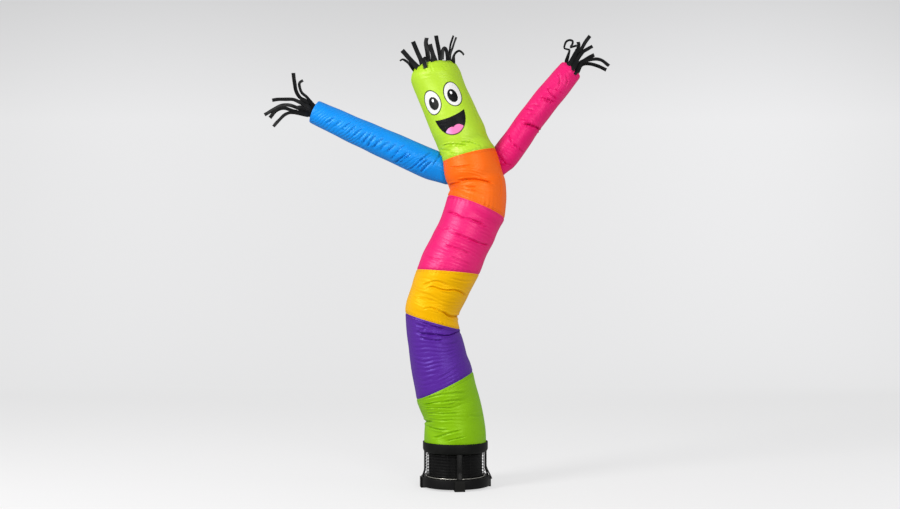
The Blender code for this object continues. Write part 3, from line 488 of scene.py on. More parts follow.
def ripstop_nylon(name, deep, body, light, gloss, ribbing, slant, face):
    """Ripstop nylon, woven with a square grid of thicker threads and coated: it shines softly.

    The threads are 0.1 mm and are left out as too fine to show. The lines of the 5 mm squares are drawn
    about 0.7 mm wide so that they show close by.
    """
    material, tree = new_material(name, Specular_Tint=linear(gloss), IOR=NYLON_IOR)
    cloth = node(tree, "TexCoord", out="UV")
    place = node(tree, "TexCoord", out="Object")
    away, up = (node(tree, "SeparateXYZ", {0: cloth}, out=axis) for axis in (0, 1))
    edge = node(tree, "Attribute", out="Fac", attribute_name="edge")
    fold = node(tree, "Attribute", out="Fac", attribute_name="fold")

    # Dye lies a little unevenly over a hand's breadth, and painted shade darkens the cloth where creases,
    # ripples, gathers and seams draw it in
    patches = node(tree, "TexNoise", {"Vector": place, "Scale": 9.0, "Detail": 2.0})
    patches = node(tree, "MapRange", {"Value": patches, "From Min": 0.35, "From Max": 0.65})
    patches = node(tree, "Math", {0: patches, 1: 0.12}, operation="MULTIPLY")
    colour = paint(tree, linear(body), linear(light), patches)
    depths = {"From Min": 0.0006, "From Max": 0.0055, "To Max": 0.55}
    crease_shade = node(tree, "MapRange", {"Value": fold, **depths})
    colour = paint(tree, colour, linear(deep), crease_shade)

    # The ripstop grid
    lines = []
    for distance in (away, up):
        step = node(tree, "Math", {0: distance, 1: SQUARE / 2}, operation="PINGPONG")
        lines.append(node(tree, "MapRange", {"Value": step, "From Min": 0.0006, "From Max": 0.0001}))
    grid = node(tree, "Math", {0: lines[0], 1: lines[1]}, operation="MAXIMUM")
    tint = node(tree, "Math", {0: grid, 1: 0.16}, operation="MULTIPLY")
    colour = paint(tree, colour, linear(deep), tint)

    # The thin coating shines where it is seen squarely, and the shape's edges keep the dye's colour
    away_turned = node(tree, "LayerWeight", {"Blend": 0.5}, out="Facing")
    fall = {"From Min": 0.30, "From Max": 0.80, "To Min": GLOSS, "To Max": 0.05}
    shine = node(tree, "MapRange", {"Value": away_turned, **fall})
    if face:
        colour, ink = print_face(tree, cloth, colour)
        bare = node(tree, "MapRange", {"Value": ink, "To Min": 1.0, "To Max": 0.2})
        shine = node(tree, "Math", {0: shine, 1: bare}, operation="MULTIPLY")
        feed(tree, Specular_Tint=paint(tree, linear(gloss), linear("#ffffff"), ink))

    # The rows of stitches
    beat = node(tree, "Math", {0: away, 1: STITCH_PITCH}, operation="FLOORED_MODULO")
    dash = node(tree, "Math", {0: beat, 1: STITCH}, operation="LESS_THAN")
    rows = []
    for row in STITCH_ROWS:
        off = node(tree, "Math", {0: edge, 1: row}, operation="SUBTRACT")
        off = node(tree, "Math", {0: off}, operation="ABSOLUTE")
        rows.append(node(tree, "MapRange", {"Value": off, "From Min": 0.0007, "From Max": 0.0003}))
    thread = node(tree, "Math", {0: rows[0], 1: rows[1]}, operation="MAXIMUM")
    thread = node(tree, "Math", {0: thread, 1: dash}, operation="MULTIPLY")
    shown = node(tree, "Math", {0: thread, 1: 0.55}, operation="MULTIPLY")
    colour = paint(tree, colour, linear(deep), shown)

    # Crinkle left by packing the cloth away, and slanting ribs in patches where it is pulled
    packed = node(tree, "VectorMath", {0: cloth, 1: (1.0, 2.1, 0)}, operation="MULTIPLY")
    crinkle = node(
        tree,
        "TexNoise",
        {"Vector": packed, "Scale": 24.0, "Detail": 4.0, "Roughness": 0.55, "Distortion": 0.5},
        noise_type="RIDGED_MULTIFRACTAL",
        normalize=True,
    )
    slanted = node(tree, "Math", {0: away, 1: slant, 2: up}, operation="MULTIPLY_ADD")
    slanted = node(tree, "CombineXYZ", {0: away, 1: slanted})
    ribs = node(
        tree,
        "TexWave",
        {"Vector": slanted, "Scale": 23.0, "Distortion": 9.0, "Detail": 3.0, "Detail Scale": 0.35},
        out="Fac",
        bands_direction="Y",
    )
    ribs = node(tree, "Math", {0: ribs, 1: 0.4}, operation="POWER")
    pulled = node(tree, "TexNoise", {"Vector": place, "Scale": 8.0, "Detail": 1.0})
    pulled = node(tree, "MapRange", {"Value": pulled, "From Min": 0.42, "From Max": 0.64})
    ribs = node(tree, "Math", {0: ribs, 1: pulled}, operation="MULTIPLY")

    # The relief, each layer over the one before
    bump = node(tree, "Bump", {"Height": crinkle, "Distance": 0.0024, "Strength": 0.35})
    layers = ((ribs, 0.0014, ribbing), (grid, 0.0002, 0.5), (thread, 0.0006, 0.8))
    for height, distance, strength in layers:
        layer = {"Height": height, "Distance": distance, "Strength": strength, "Normal": bump}
        bump = node(tree, "Bump", layer)
    rough = node(tree, "MapRange", {"Value": crinkle, "To Min": 0.39, "To Max": 0.51})
    feed(tree, Base_Color=colour, Specular_IOR_Level=shine, Normal=bump, Roughness=rough)
    return material


def black_strip_nylon():
    """Thin black nylon cut in strips with a hot knife: satin faces, and edges melted to a darker line."""
    material, tree = new_material(
        "black_strip_nylon", Sheen_Weight=0.02, Sheen_Roughness=0.4, Specular_IOR_Level=0.12, IOR=NYLON_IOR
    )
    place = node(tree, "TexCoord", out="Object")
    across = node(tree, "SeparateXYZ", {0: node(tree, "TexCoord", out="UV")})
    across = node(tree, "Math", {0: across}, operation="ABSOLUTE")
    rim = node(tree, "MapRange", {"Value": across, "From Min": 0.62, "From Max": 0.95})
    streaks = node(tree, "TexNoise", {"Vector": place, "Scale": 60.0, "Detail": 3.0})
    face = paint(tree, linear("#08080a"), linear("#17181a"), streaks)
    feed(
        tree,
        Base_Color=paint(tree, face, linear("#060607"), rim),
        Normal=node(tree, "Bump", {"Height": streaks, "Distance": 0.0008, "Strength": 0.4}),
        Roughness=node(tree, "MapRange", {"Value": streaks, "To Min": 0.38, "To Max": 0.58}),
    )
    return material


def moulded_plastic(name, body, light, grain, rough):
    """Injection-moulded black polypropylene with a fine spark-eroded grain, and dusty patches."""
    material, tree = new_material(name, Specular_IOR_Level=0.14, IOR=1.49)
    place = node(tree, "TexCoord", out="Object")
    fine = node(tree, "TexNoise", {"Vector": place, "Scale": 1 / grain, "Detail": 2.0})
    wide = node(tree, "TexNoise", {"Vector": place, "Scale": 22.0, "Detail": 4.0})
    dust = node(tree, "MapRange", {"Value": wide, "From Min": 0.42, "From Max": 0.72, "To Max": 0.7})
    feed(
        tree,
        Base_Color=paint(tree, linear(body), linear(light), dust),
        Normal=node(tree, "Bump", {"Height": fine, "Distance": 0.0003, "Strength": 0.30}),
        Roughness=node(tree, "MapRange", {"Value": wide, "To Min": rough - 0.08, "To Max": rough + 0.10}),
    )
    return material


def painted_steel(name, body, light):
    """Steel bar and wire dipped in black paint: even satin, with a faint orange-peel."""
    material, tree = new_material(name, Coat_Weight=0.03, Coat_Roughness=0.22, Specular_IOR_Level=0.14)
    place = node(tree, "TexCoord", out="Object")
    peel = node(tree, "TexNoise", {"Vector": place, "Scale": 420.0, "Detail": 1.0})
    wide = node(tree, "TexNoise", {"Vector": place, "Scale": 30.0, "Detail": 3.0})
    feed(
        tree,
        Base_Color=paint(tree, linear(body), linear(light), wide),
        Normal=node(tree, "Bump", {"Height": peel, "Distance": 0.0002, "Strength": 0.2}),
        Roughness=node(tree, "MapRange", {"Value": wide, "To Min": 0.34, "To Max": 0.50}),
    )
    return material


def bright_wire():
    """Drawn steel wire, zinc-plated: bright, with small dull spots."""
    material, tree = new_material("zinc_plated_wire", Metallic=1.0)
    place = node(tree, "TexCoord", out="Object")
    spots = node(tree, "TexNoise", {"Vector": place, "Scale": 160.0, "Detail": 3.0})
    feed(
        tree,
        Base_Color=paint(tree, linear("#c9c7bf"), linear("#f4f2ea"), spots),
        Roughness=node(tree, "MapRange", {"Value": spots, "To Min": 0.22, "To Max": 0.45}),
    )
    return material


def braided_cord():
    """Black polyester draw cord, 5 mm, braided: matt, with slanting plaits 3 mm apart."""
    material, tree = new_material(
        "braided_polyester_cord", Sheen_Weight=0.3, Specular_IOR_Level=0.3, Roughness=0.7
    )
    place = node(tree, "TexCoord", out="Object")
    plaits = []
    for turn in (38, -38):
        aim = node(tree, "Mapping", {"Vector": place, "Rotation": (math.radians(turn), 0, 0)})
        plait = node(tree, "TexWave", {"Vector": aim, "Scale": 105.0}, out="Fac", bands_direction="Z")
        plaits.append(plait)
    braid = node(tree, "Math", {0: plaits[0], 1: plaits[1]}, operation="MULTIPLY")
    feed(
        tree,
        Base_Color=paint(tree, linear("#0d0d0e"), linear("#2b2b2d"), braid),
        Normal=node(tree, "Bump", {"Height": braid, "Distance": 0.0006, "Strength": 0.8}),
    )
    return material


NYLONS = (
    # colour, name, of the painted shade in creases and of the grid and stitches, all over, in lighter
    # patches, of the shine, strength and slant of the ribs
    ("green", "green_ripstop_nylon", "#4c7c00", "#80b800", "#98cc20", "#dcff80", 0.45, 0.0),
    ("purple", "purple_ripstop_nylon", "#2c1258", "#521e92", "#6c40ae", "#a898ff", 0.5, 0.0),
    ("yellow", "yellow_ripstop_nylon", "#a86a00", "#eeb000", "#fac410", "#ffec50", 0.2, 0.0),
    ("pink", "pink_ripstop_nylon", "#9a0440", "#e60a6e", "#ff3c90", "#ffb8dc", 0.2, 0.0),
    ("orange", "orange_ripstop_nylon", "#b43800", "#fb6802", "#ff8430", "#ffc890", 0.2, 0.0),
    ("lime", "lime_ripstop_nylon", "#72a006", "#aed824", "#caf04c", "#fcffcc", 0.25, 0.0),
    ("lime_cap", "lime_cap_nylon", "#72a006", "#aed824", "#caf04c", "#fcffcc", 0.25, 0.0),
    ("blue", "blue_ripstop_nylon", "#004898", "#008aec", "#2ea6ff", "#98d6ff", 1.0, 0.5),
    ("sleeve_pink", "pink_sleeve_nylon", "#960440", "#e40e6c", "#ff4690", "#ff90c4", 0.3, -0.12),
)
NYLON = {colour: ripstop_nylon(*rest, face=colour == "lime") for colour, *rest in NYLONS}
NYLON["black"] = black_strip_nylon()
PLASTIC = moulded_plastic("black_moulded_plastic", "#0c0c0d", "#151516", 0.0008, 0.46)
COLLAR_PLASTIC = moulded_plastic("black_collar_plastic", "#0d0e0d", "#171816", 0.0008, 0.50)
RUBBER = moulded_plastic("black_foot_rubber", "#121211", "#1b1b19", 0.0012, 0.55)
PAINTED_BAR = painted_steel("black_painted_bar", "#060606", "#0e0e0e")
PAINTED_WIRE = painted_steel("black_painted_wire", "#080808", "#141414")
WIRE = bright_wire()
CORD_BRAID = braided_cord()

# ---- making and shaping


def start_clean():
    bpy.ops.object.select_all(action="DESELECT")


def edit():
    bpy.ops.object.mode_set(mode="EDIT")


def leave():
    bpy.ops.object.mode_set(mode="OBJECT")


def pick(kind, test):
    """In edit mode, selects only the vertices, edges or faces whose middle and direction pass a test."""
    piece = bpy.context.edit_object
    bpy.ops.mesh.select_mode(type=kind)
    bpy.ops.mesh.select_all(action="DESELECT")
    bm = bmesh.from_edit_mesh(piece.data)
    if kind == "VERT":
        places = [(v, v.co, v.normal) for v in bm.verts]
    elif kind == "EDGE":
        ends = [(e, *(v.co for v in e.verts)) for e in bm.edges]
        places = [(e, (a + b) / 2, (b - a).normalized()) for e, a, b in ends]
    else:
        places = [(f, f.calc_center_median(), f.normal) for f in bm.faces]
    for item, middle, way in places:
        if test(middle, way):
            item.select_set(True)
    bm.select_flush_mode()
    bmesh.update_edit_mesh(piece.data)


def extrude(x, y, z):
    """Extrudes what is selected and moves it."""
    bpy.ops.mesh.extrude_region_move(TRANSFORM_OT_translate={"value": (x, y, z)})


def cut(place, way):
    """Cuts the whole mesh along a plane."""
    bpy.ops.mesh.select_all(action="SELECT")
    bpy.ops.mesh.bisect(plane_co=place, plane_no=way)


def modify(kind, **settings):
    """Adds a modifier to the active piece and applies it."""
    piece = bpy.context.object
    modifier = piece.modifiers.new(kind.lower(), kind)
    for name, value in settings.items():
        setattr(modifier, name, value)
    bpy.ops.object.modifier_apply(modifier=modifier.name)


def round_edges(width, segments, angle=50):
    """Rounds the edges of the active piece that turn by more than an angle."""
    modify("BEVEL", width=width, segments=segments, limit_method="ANGLE", angle_limit=math.radians(angle))


def drop_empty_faces():
    """Takes out the faces of no area that a bevel leaves where two roundings meet."""
    edit()
    bpy.ops.mesh.select_all(action="SELECT")
    bpy.ops.mesh.dissolve_degenerate(threshold=0.0000001)
    leave()


def outward():
    """Merges the active piece's doubles and turns its faces outwards."""
    edit()
    bpy.ops.mesh.select_all(action="SELECT")
    bpy.ops.mesh.remove_doubles(threshold=0.00001)
    bpy.ops.mesh.normals_make_consistent(inside=False)
    leave()


def join(pieces):
    """Joins pieces into the first of them, which becomes the active one."""
    start_clean()
    for piece in pieces:
        piece.select_set(True)
    bpy.context.view_layer.objects.active = pieces[0]
    bpy.ops.object.join()


def finish_piece(name, material, smooth=40):
    """Names the active piece, gives it its material and shading, and brings its origin to the world's."""
    piece = bpy.context.object
    bpy.ops.object.transform_apply(location=True, rotation=True, scale=True)
    piece.name = piece.data.name = name
    piece.data.materials.clear()
    piece.data.materials.append(material)
    bpy.ops.object.shade_smooth_by_angle(angle=math.radians(smooth))
    piece.select_set(False)
    return piece


def place_piece(piece, slot, *nodes):
    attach(piece, "root")
    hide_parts(*nodes)


# ---- the shape of the cloth


def smooth_values(knots, values, at):
    """A smooth curve through values that stand at knots, read at every number in at."""
    knots, values = np.asarray(knots, float), np.asarray(values, float)
    last = len(knots) - 1
    i = np.clip(np.searchsorted(knots, at) - 1, 0, last - 1)
    before, after = np.maximum(np.arange(last + 1) - 1, 0), np.minimum(np.arange(last + 1) + 1, last)
    slope = (values[after] - values[before]) / (knots[after] - knots[before])
    span = knots[i + 1] - knots[i]
    u = (at - knots[i]) / span
    u2, u3 = u * u, u * u * u
    return (
        (2 * u3 - 3 * u2 + 1) * values[i]
        + (u3 - 2 * u2 + u) * slope[i] * span
        + (3 * u2 - 2 * u3) * values[i + 1]
        + (u3 - u2) * slope[i + 1] * span
    )


def smooth_line(knots, points, at):
    """Places along a smooth line through points that stand at knots."""
    points = np.asarray(points, float)
    return np.stack([smooth_values(knots, points[:, i], at) for i in range(points.shape[1])], -1)


def unit(vectors):
    return vectors / np.linalg.norm(vectors, axis=-1, keepdims=True)


def lengths(points):
    """How far along a line through points each of them lies."""
    steps = np.linalg.norm(np.diff(np.asarray(points, float), axis=0), axis=1)
    return np.concatenate([[0.0], np.cumsum(steps)])


def turn_from(facing, towards):
    """How far a facing is turned from another, from -180 to 180."""
    return (facing - towards + 180) % 360 - 180


def bell(share):
    """1 in the middle of a stretch, falling smoothly beyond it."""
    return np.exp(-(share**2))


TUBE_KNOTS = lengths([((lx + rx) / 2, y, (lz + rz) / 2) for _, lx, lz, rx, rz, y in SECTIONS])
TUBE_COLUMNS = [[row[i] for row in SECTIONS] for i in range(1, 6)]
SEAM = {row[0]: float(at) for row, at in zip(SECTIONS, TUBE_KNOTS)}


def tube_line(up):
    """Middle of the tube, and its whole width as a vector, at distances along it."""
    lx, lz, rx, rz, y = (smooth_values(TUBE_KNOTS, column, up) for column in TUBE_COLUMNS)
    return np.stack([(lx + rx) / 2, y, (lz + rz) / 2], -1), np.stack([rx - lx, 0 * lx, rz - lz], -1)


def tube_points(up, facing, swell):
    """Places on the tube's cloth, which stands out from its smooth shape by swell."""
    middle, across = tube_line(up)
    rise = unit(tube_line(up + NEAR)[0] - tube_line(up - NEAR)[0])
    half = np.linalg.norm(across, axis=-1) / 2
    across = unit(across)
    square = np.sqrt(1 - (across * rise).sum(-1) ** 2)
    back = unit(np.cross(rise, across))
    turn = np.radians(facing)
    wide = (half + swell / square) * np.sin(turn)
    thick = (half * square + swell) * np.cos(turn)
    return middle + across * wide[..., None] - back * thick[..., None]


def sleeve_line(rows, up):
    """Middle, upward side, backward side, half height, half depth and way ahead of a sleeve."""
    knots = lengths([row[:3] for row in rows])
    values = smooth_line(knots, rows, up)
    middle, tall, thick = values[..., :3], values[..., 3], values[..., 4]
    ends = [smooth_line(knots, rows, up + step)[..., :3] for step in (-NEAR, NEAR)]
    ahead = unit(ends[1] - ends[0])
    side = unit(np.cross(ahead, [0.0, 1.0, 0.0]))
    side = side * np.sign(side[..., 2:3])
    back = unit(np.cross(side, ahead))
    back = back * np.sign(back[..., 1:2])
    return middle, side, back, tall / 2, thick / 2, ahead


def sleeve_points(rows, up, facing, swell):
    """Places on a sleeve's cloth, which stands out from its smooth shape by swell."""
    middle, side, back, tall, thick, _ = sleeve_line(rows, up)
    turn = np.radians(facing)
    return (
        middle
        + side * ((tall + swell) * np.sin(turn))[..., None]
        - back * ((thick + swell) * np.cos(turn))[..., None]
    )


def crease_depth(up, facing, depth, width, line, radius):
    """How deep one crease is over the cloth: a rounded trough, its cloth swelling beside it."""
    flat = np.array(line, float) * (radius * math.pi / 180, 1)
    knots = lengths(flat)
    spots = np.linspace(0, 1, 4 * len(line) + 1) * knots[-1]
    path = smooth_line(knots, line, spots)
    centre = path[:, 0].mean()
    spot = np.stack([np.radians(turn_from(facing, centre)) * radius, up], -1)
    path = np.stack([np.radians(path[:, 0] - centre) * radius, path[:, 1]], -1)
    total = lengths(path)
    best = np.full(up.shape, np.inf)
    along = np.zeros(up.shape)
    for k in range(len(path) - 1):
        a, step = path[k], path[k + 1] - path[k]
        t = np.clip(((spot - a) @ step) / (step @ step), 0, 1)
        away = np.linalg.norm(spot - a - t[..., None] * step, axis=-1)
        closer = away < best
        best = np.where(closer, away, best)
        along = np.where(closer, (total[k] + t * (total[k + 1] - total[k])) / total[-1], along)
    fade = np.clip(np.minimum(along, 1 - along) / CREASE_ENDS, 0, 1)
    fade = fade * fade * (3 - 2 * fade) * (1 - CREASE_FAINT) + CREASE_FAINT
    from_bottom = np.sqrt(best**2 + CREASE_BOTTOM**2) - CREASE_BOTTOM
    trough = 0.90 * np.exp(-from_bottom / (width * 0.42)) + 0.22 * bell(best / (1.2 * width))
    lips = bell((best - 1.4 * width) / (0.65 * width))
    return depth * fade * (trough - CREASE_LIPS * lips)


def relief(piece, up, facing, radius, low_edge, high_edge):
    """How far the cloth stands in from its smooth shape: creases, ripples, gathers and soft dents."""
    deep = np.zeros(up.shape)
    share = SLEEVE_CREASE if radius == SLEEVE_RADIUS else TUBE_CREASE
    for depth, width, line in CREASES[piece]:
        deep += crease_depth(up, facing, share * depth, CREASE_WIDTH * width, line, radius)
    for towards, level, reach, height, pitch, depth, fall in RIPPLES[piece]:
        turn = turn_from(facing, towards)
        rad = np.radians(turn)
        phase = (up - level + fall * rad) / pitch
        phase = phase + 0.16 * np.sin(7 * rad + 30 * up) + 0.10 * np.sin(90 * up - 3 * rad)
        hold = np.exp(-((turn / reach) ** 4) - ((up - level) / height) ** 4)
        uneven = 0.6 + 0.4 * np.sin(5 * rad + 70 * up + 3 * np.sin(31 * up))
        pillow = 1.2 - 1.9 * np.sqrt(np.sin(math.pi * phase) ** 2 + 0.01)
        deep += RIPPLE_DEPTH * depth * hold * uneven * pillow
    low_depth, low_reach, high_depth, high_reach, pleats = GATHERS[piece]
    rad = np.radians(facing)
    for far, depth, reach, shift in (
        (low_edge, low_depth, low_reach, 0.4),
        (high_edge, high_depth, high_reach, 1.9),
    ):
        pleat = np.sin(pleats * rad + 1.3 * np.sin(5 * rad + shift) + shift)
        pleat = pleat * (0.6 + 0.4 * np.sin(3 * rad + 2 * shift))
        deep += depth * pleat * np.exp(-far / reach) * np.minimum(far / SEAM_FLAT, 1)
        deep += SEAM_DEPTH * bell(far / SEAM_REACH)
    dents = np.sin(3 * rad + 21 * up) * np.sin(37 * up + 2 * rad + 1) + 0.6 * np.sin(5 * rad - 43 * up + 2)
    return deep + SWELL * dents


def fold_depth(up, facing):
    """How far the tube's broad folds draw its cloth in."""
    deep = np.zeros(up.shape)
    for section, above, towards, fall, reach, depth, width in FOLDS:
        turn = turn_from(facing, towards)
        away = up - SEAM[section] - above + fall * np.radians(turn)
        deep += depth * np.exp(-((turn / reach) ** 2) - (away / width) ** 2)
    return deep


def folded_tube(up, facing, deep):
    """Places on the tube's cloth, with its relief and its broad folds."""
    return tube_points(up, facing, -deep - fold_depth(up, facing))


# ---- the cloth's meshes


def open_tube(rows, around):
    """A cylinder open at both ends with even rows of faces, as a mesh to be placed on its cloth."""
    start_clean()
    bpy.ops.mesh.primitive_cylinder_add(
        vertices=around, radius=0.1, depth=1.0, end_fill_type="NOTHING", location=(0, 0, 0.5)
    )
    bpy.ops.object.transform_apply(location=True)
    edit()
    pick("EDGE", lambda middle, along: abs(along.z) > 0.9)
    bpy.ops.mesh.subdivide(number_cuts=rows - 1)
    leave()
    return bpy.context.object


def numbers(items, name, width, kind=float):
    """One attribute of many items as an array, with a row for each item."""
    got = np.empty(len(items) * width, kind)
    items.foreach_get(name, got)
    return got.reshape(-1, width)


def dress(piece, grid, ups, facings, marks, radius):
    """Moves an open tube's vertices onto a grid of places, and writes its cloth map and its marks."""
    mesh = piece.data
    rows, around = grid.shape[0] - 1, grid.shape[1]
    co = numbers(mesh.vertices, "co", 3)
    row = np.rint(co[:, 2] * rows).astype(int)
    column = np.rint(np.arctan2(co[:, 1], co[:, 0]) / (2 * math.pi) * around).astype(int) % around
    mesh.vertices.foreach_set("co", grid[row, column].ravel())

    # Every face's corners keep their facings together, also where the cloth closes its round
    corners = numbers(mesh.loops, "vertex_index", 1, int).reshape(-1, 4)
    turn = facings[column][corners]
    turn = turn - 360 * np.rint((turn - turn[:, :1]) / 360)
    turn = turn - 360 * np.rint(turn.mean(1, keepdims=True) / 360)
    cloth = np.stack([np.radians(turn) * radius, ups[row, column][corners]], -1)
    mesh.uv_layers.active.data.foreach_set("uv", cloth.ravel())
    for name, values in marks.items():
        mark = mesh.attributes.new(name, "FLOAT", "POINT")
        mark.data.foreach_set("value", values[row, column])
    mesh.update()
    outwards = (grid - grid.mean(axis=1, keepdims=True))[row, column]
    if (numbers(mesh.vertex_normals, "vector", 3) * outwards).sum() < 0:
        mesh.flip_normals()


def wall():
    """Gives the active sheet the thickness of its cloth, inwards."""
    modify("SOLIDIFY", thickness=CLOTH, offset=-1.0, use_rim=True)


def facings_round(around):
    return np.degrees(np.arange(around) * 2 * math.pi / around) + 90


def lay_out_panels():
    """The six panels before they are sewn: names, nylon, the grid of their cloth, relief and seams."""
    facings = facings_round(AROUND)
    panels = []
    for piece, node_name, low, high, nylon in PANELS:
        start, end = SEAM[low], SEAM[high]
        rows = round((end - start) / ROW)
        up = np.repeat(np.linspace(start, end, rows + 1)[:, None], AROUND, axis=1)
        facing = np.repeat(facings[None], rows + 1, axis=0)
        deep = relief(piece, up, facing, GIRTH_RADIUS, up - start, end - up)
        panels.append((piece, node_name, nylon, up, facing, deep, np.minimum(up - start, end - up)))
    return panels


def tube_tree(panels):
    """A search tree of the tube's surface."""
    places, faces = [], []
    for _, _, _, up, facing, deep, _ in panels:
        grid = folded_tube(up, facing, deep)
        first, around = len(places), grid.shape[1]
        places += [Vector(p) for p in grid.reshape(-1, 3)]
        for i in range(grid.shape[0] - 1):
            for j in range(around):
                a, b = first + i * around + j, first + i * around + (j + 1) % around
                faces.append((a, b, b + around, a + around))
    return BVHTree.FromPolygons(places, faces)


def sleeve_start(rows, tree, facings):
    """How far along the sleeve each of its lines leaves the tube, looked for from its middle inwards."""
    total = lengths([row[:3] for row in rows])[-1]
    spots = np.arange(total * 0.5, 0.0, -0.004)
    starts = []
    for facing in facings:
        line = sleeve_points(rows, spots, np.full(spots.shape, facing), np.zeros(spots.shape))
        found = 0.03  # stands if the line doesn't meet the tube
        for k in range(len(spots) - 1):
            a, b = Vector(line[k]), Vector(line[k + 1])
            hit = tree.ray_cast(a, (b - a).normalized(), (b - a).length)
            if hit[0]:
                found = spots[k] - hit[3] / (b - a).length * (spots[k] - spots[k + 1])
                break
        starts.append(found)
    return np.array(starts)


def make_sleeve(piece, node_name, rows, nylon, slot, tree):
    """A sleeve, tucked a little into the tube at its port. Returns the places of the port's seam."""
    tuck = 0.004
    facings = facings_round(SLEEVE_AROUND)
    total = float(lengths([row[:3] for row in rows])[-1])
    starts = sleeve_start(rows, tree, facings)
    seam = sleeve_points(rows, starts, facings, np.zeros(facings.shape))
    count = round((total - starts.mean()) / ROW)
    share = np.linspace(0, 1, count + 1)[:, None]
    up = (starts - tuck) + (total - starts + tuck) * share
    facing = np.repeat(facings[None], count + 1, axis=0)
    low, high = np.maximum(up - starts, 0), total - up
    deep = relief(piece, up, facing, SLEEVE_RADIUS, low, high)
    grid = sleeve_points(rows, up, facing, -deep)
    sleeve = open_tube(count, SLEEVE_AROUND)
    dress(sleeve, grid, up, facings, {"edge": np.minimum(low, high), "fold": deep}, SLEEVE_RADIUS)
    wall()
    finish_piece(piece, NYLON[nylon])
    place_piece(sleeve, slot, node_name)
    return seam


def make_panels(panels, seams):
    """Sews the sleeves' seams into the panels, then makes their meshes."""
    spots = [p for seam in seams for p in seam]
    near = KDTree(len(spots))
    for i, spot in enumerate(spots):
        near.insert(spot, i)
    near.balance()
    for piece, node_name, nylon, up, facing, deep, edge in panels:
        grid = folded_tube(up, facing, deep)
        if piece in ("orange_panel", "head_panel"):
            far = np.array([near.find(p)[2] for p in grid.reshape(-1, 3)]).reshape(up.shape)
            pleats = PORT_PLEAT * np.exp(-far / PORT_PLEAT_REACH) * np.sin(facing * 0.9 + up * 300)
            deep = deep + (PORT_PULL * bell(far / PORT_REACH) + pleats)
            edge = np.minimum(edge, far)
            grid = folded_tube(up, facing, deep)
        panel = open_tube(up.shape[0] - 1, up.shape[1])
        dress(panel, grid, up, facing[0], {"edge": edge, "fold": deep}, GIRTH_RADIUS)
        wall()
        finish_piece(piece, NYLON[nylon])
        place_piece(panel, "nylon_" + nylon, node_name)


def disc(rings, around):
    """A flat round sheet with rings of faces, as a mesh to be placed on its cloth."""
    start_clean()
    bpy.ops.mesh.primitive_circle_add(vertices=around, radius=1.0, fill_type="TRIFAN")
    edit()
    pick("EDGE", lambda middle, along: middle.length < 0.9 * math.cos(math.pi / around))
    bpy.ops.mesh.subdivide(number_cuts=rings - 1)
    leave()
    return bpy.context.object


CAP_RINGS, CAP_AROUND = 14, 72  # rings of faces of a cap, and faces round it


def make_cap(piece, node_name, nylon, slot, place, radius, dome, pleats):
    """A round piece of cloth that closes a tube's end, domed and gathered at its seam.

    Its place is given by its middle, the ways across, back and out, and how far it is sunk in.
    """
    middle, across, back, out, sink = place
    middle = middle - out * sink
    cap = disc(CAP_RINGS, CAP_AROUND)
    mesh = cap.data
    marks = {name: mesh.attributes.new(name, "FLOAT", "POINT") for name in ("edge", "fold")}
    for i, vert in enumerate(mesh.vertices):
        share = min(1.0, math.hypot(vert.co.x, vert.co.y))
        turn = math.atan2(vert.co.y, vert.co.x)
        pleat = math.sin(pleats * turn + 1.2 * math.sin(4 * turn)) * share**6
        crumple = math.sin(3 * turn + 5 * share) * math.sin(9 * share + turn) * (1 - share)
        lift = dome * (1 - share**2) + 0.0007 * pleat + 0.0012 * crumple - 0.0012 * share**24
        wide, deep = share * radius * math.cos(turn), share * radius * math.sin(turn)
        vert.co = middle + across * wide + back * deep + out * lift
        marks["edge"].data[i].value = (1 - share) * radius
        # how far the pleats draw the cloth in, which the nylon darkens a little as painted shade
        marks["fold"].data[i].value = -0.001 * pleat
    for loop, uv in zip(mesh.loops, mesh.uv_layers.active.data):
        spot = mesh.vertices[loop.vertex_index].co - middle
        uv.uv = (spot.dot(across), spot.dot(back))
    mesh.update()
    if sum(f.normal.dot(out) for f in mesh.polygons) < 0:
        mesh.flip_normals()
    wall()
    finish_piece(piece, NYLON[nylon])
    place_piece(cap, slot, node_name)


def head_frame():
    """Middle, ways across, back and up, and half width of the head's top seam."""
    top = np.array(SEAM["top_seam"])
    middle, across = (Vector(v) for v in tube_line(top))
    below = Vector(tube_line(top - 0.023)[0])  # the head rounds in over this height
    rise = (middle - below).normalized()
    half = across.length / 2
    across = across.normalized()
    back = rise.cross(across).normalized()
    return middle, across, back, across.cross(back), half


def wrist_frame(rows):
    """Middle, ways to the side, back and ahead, and half height of a sleeve's wrist end."""
    middle, side, back, tall, _, ahead = sleeve_line(rows, lengths([row[:3] for row in rows])[-1])
    return Vector(middle), Vector(side), Vector(back), Vector(ahead), float(tall)


def make_caps():
    """The cap of the head and those of the two wrists."""
    *place, half = head_frame()
    place.append(0.0005)
    make_cap("head_cap", "top_cap", "lime_cap", "nylon_lime", place, half - 0.0006, 0.007, 30)
    for piece, node_name, rows, nylon, slot, on in (
        ("blue_wrist_cap", "wrist_cap_blue", BLUE_SLEEVE, "blue", "nylon_blue", "blue_sleeve"),
        ("pink_wrist_cap", "wrist_cap_pink", PINK_SLEEVE, "sleeve_pink", "nylon_pink", "pink_sleeve"),
    ):
        *place, half = wrist_frame(rows)
        place.append(0.0012)
        make_cap(piece, node_name, nylon, slot, place, half - 0.0008, 0.0015, 20)


# ---- strips of black nylon

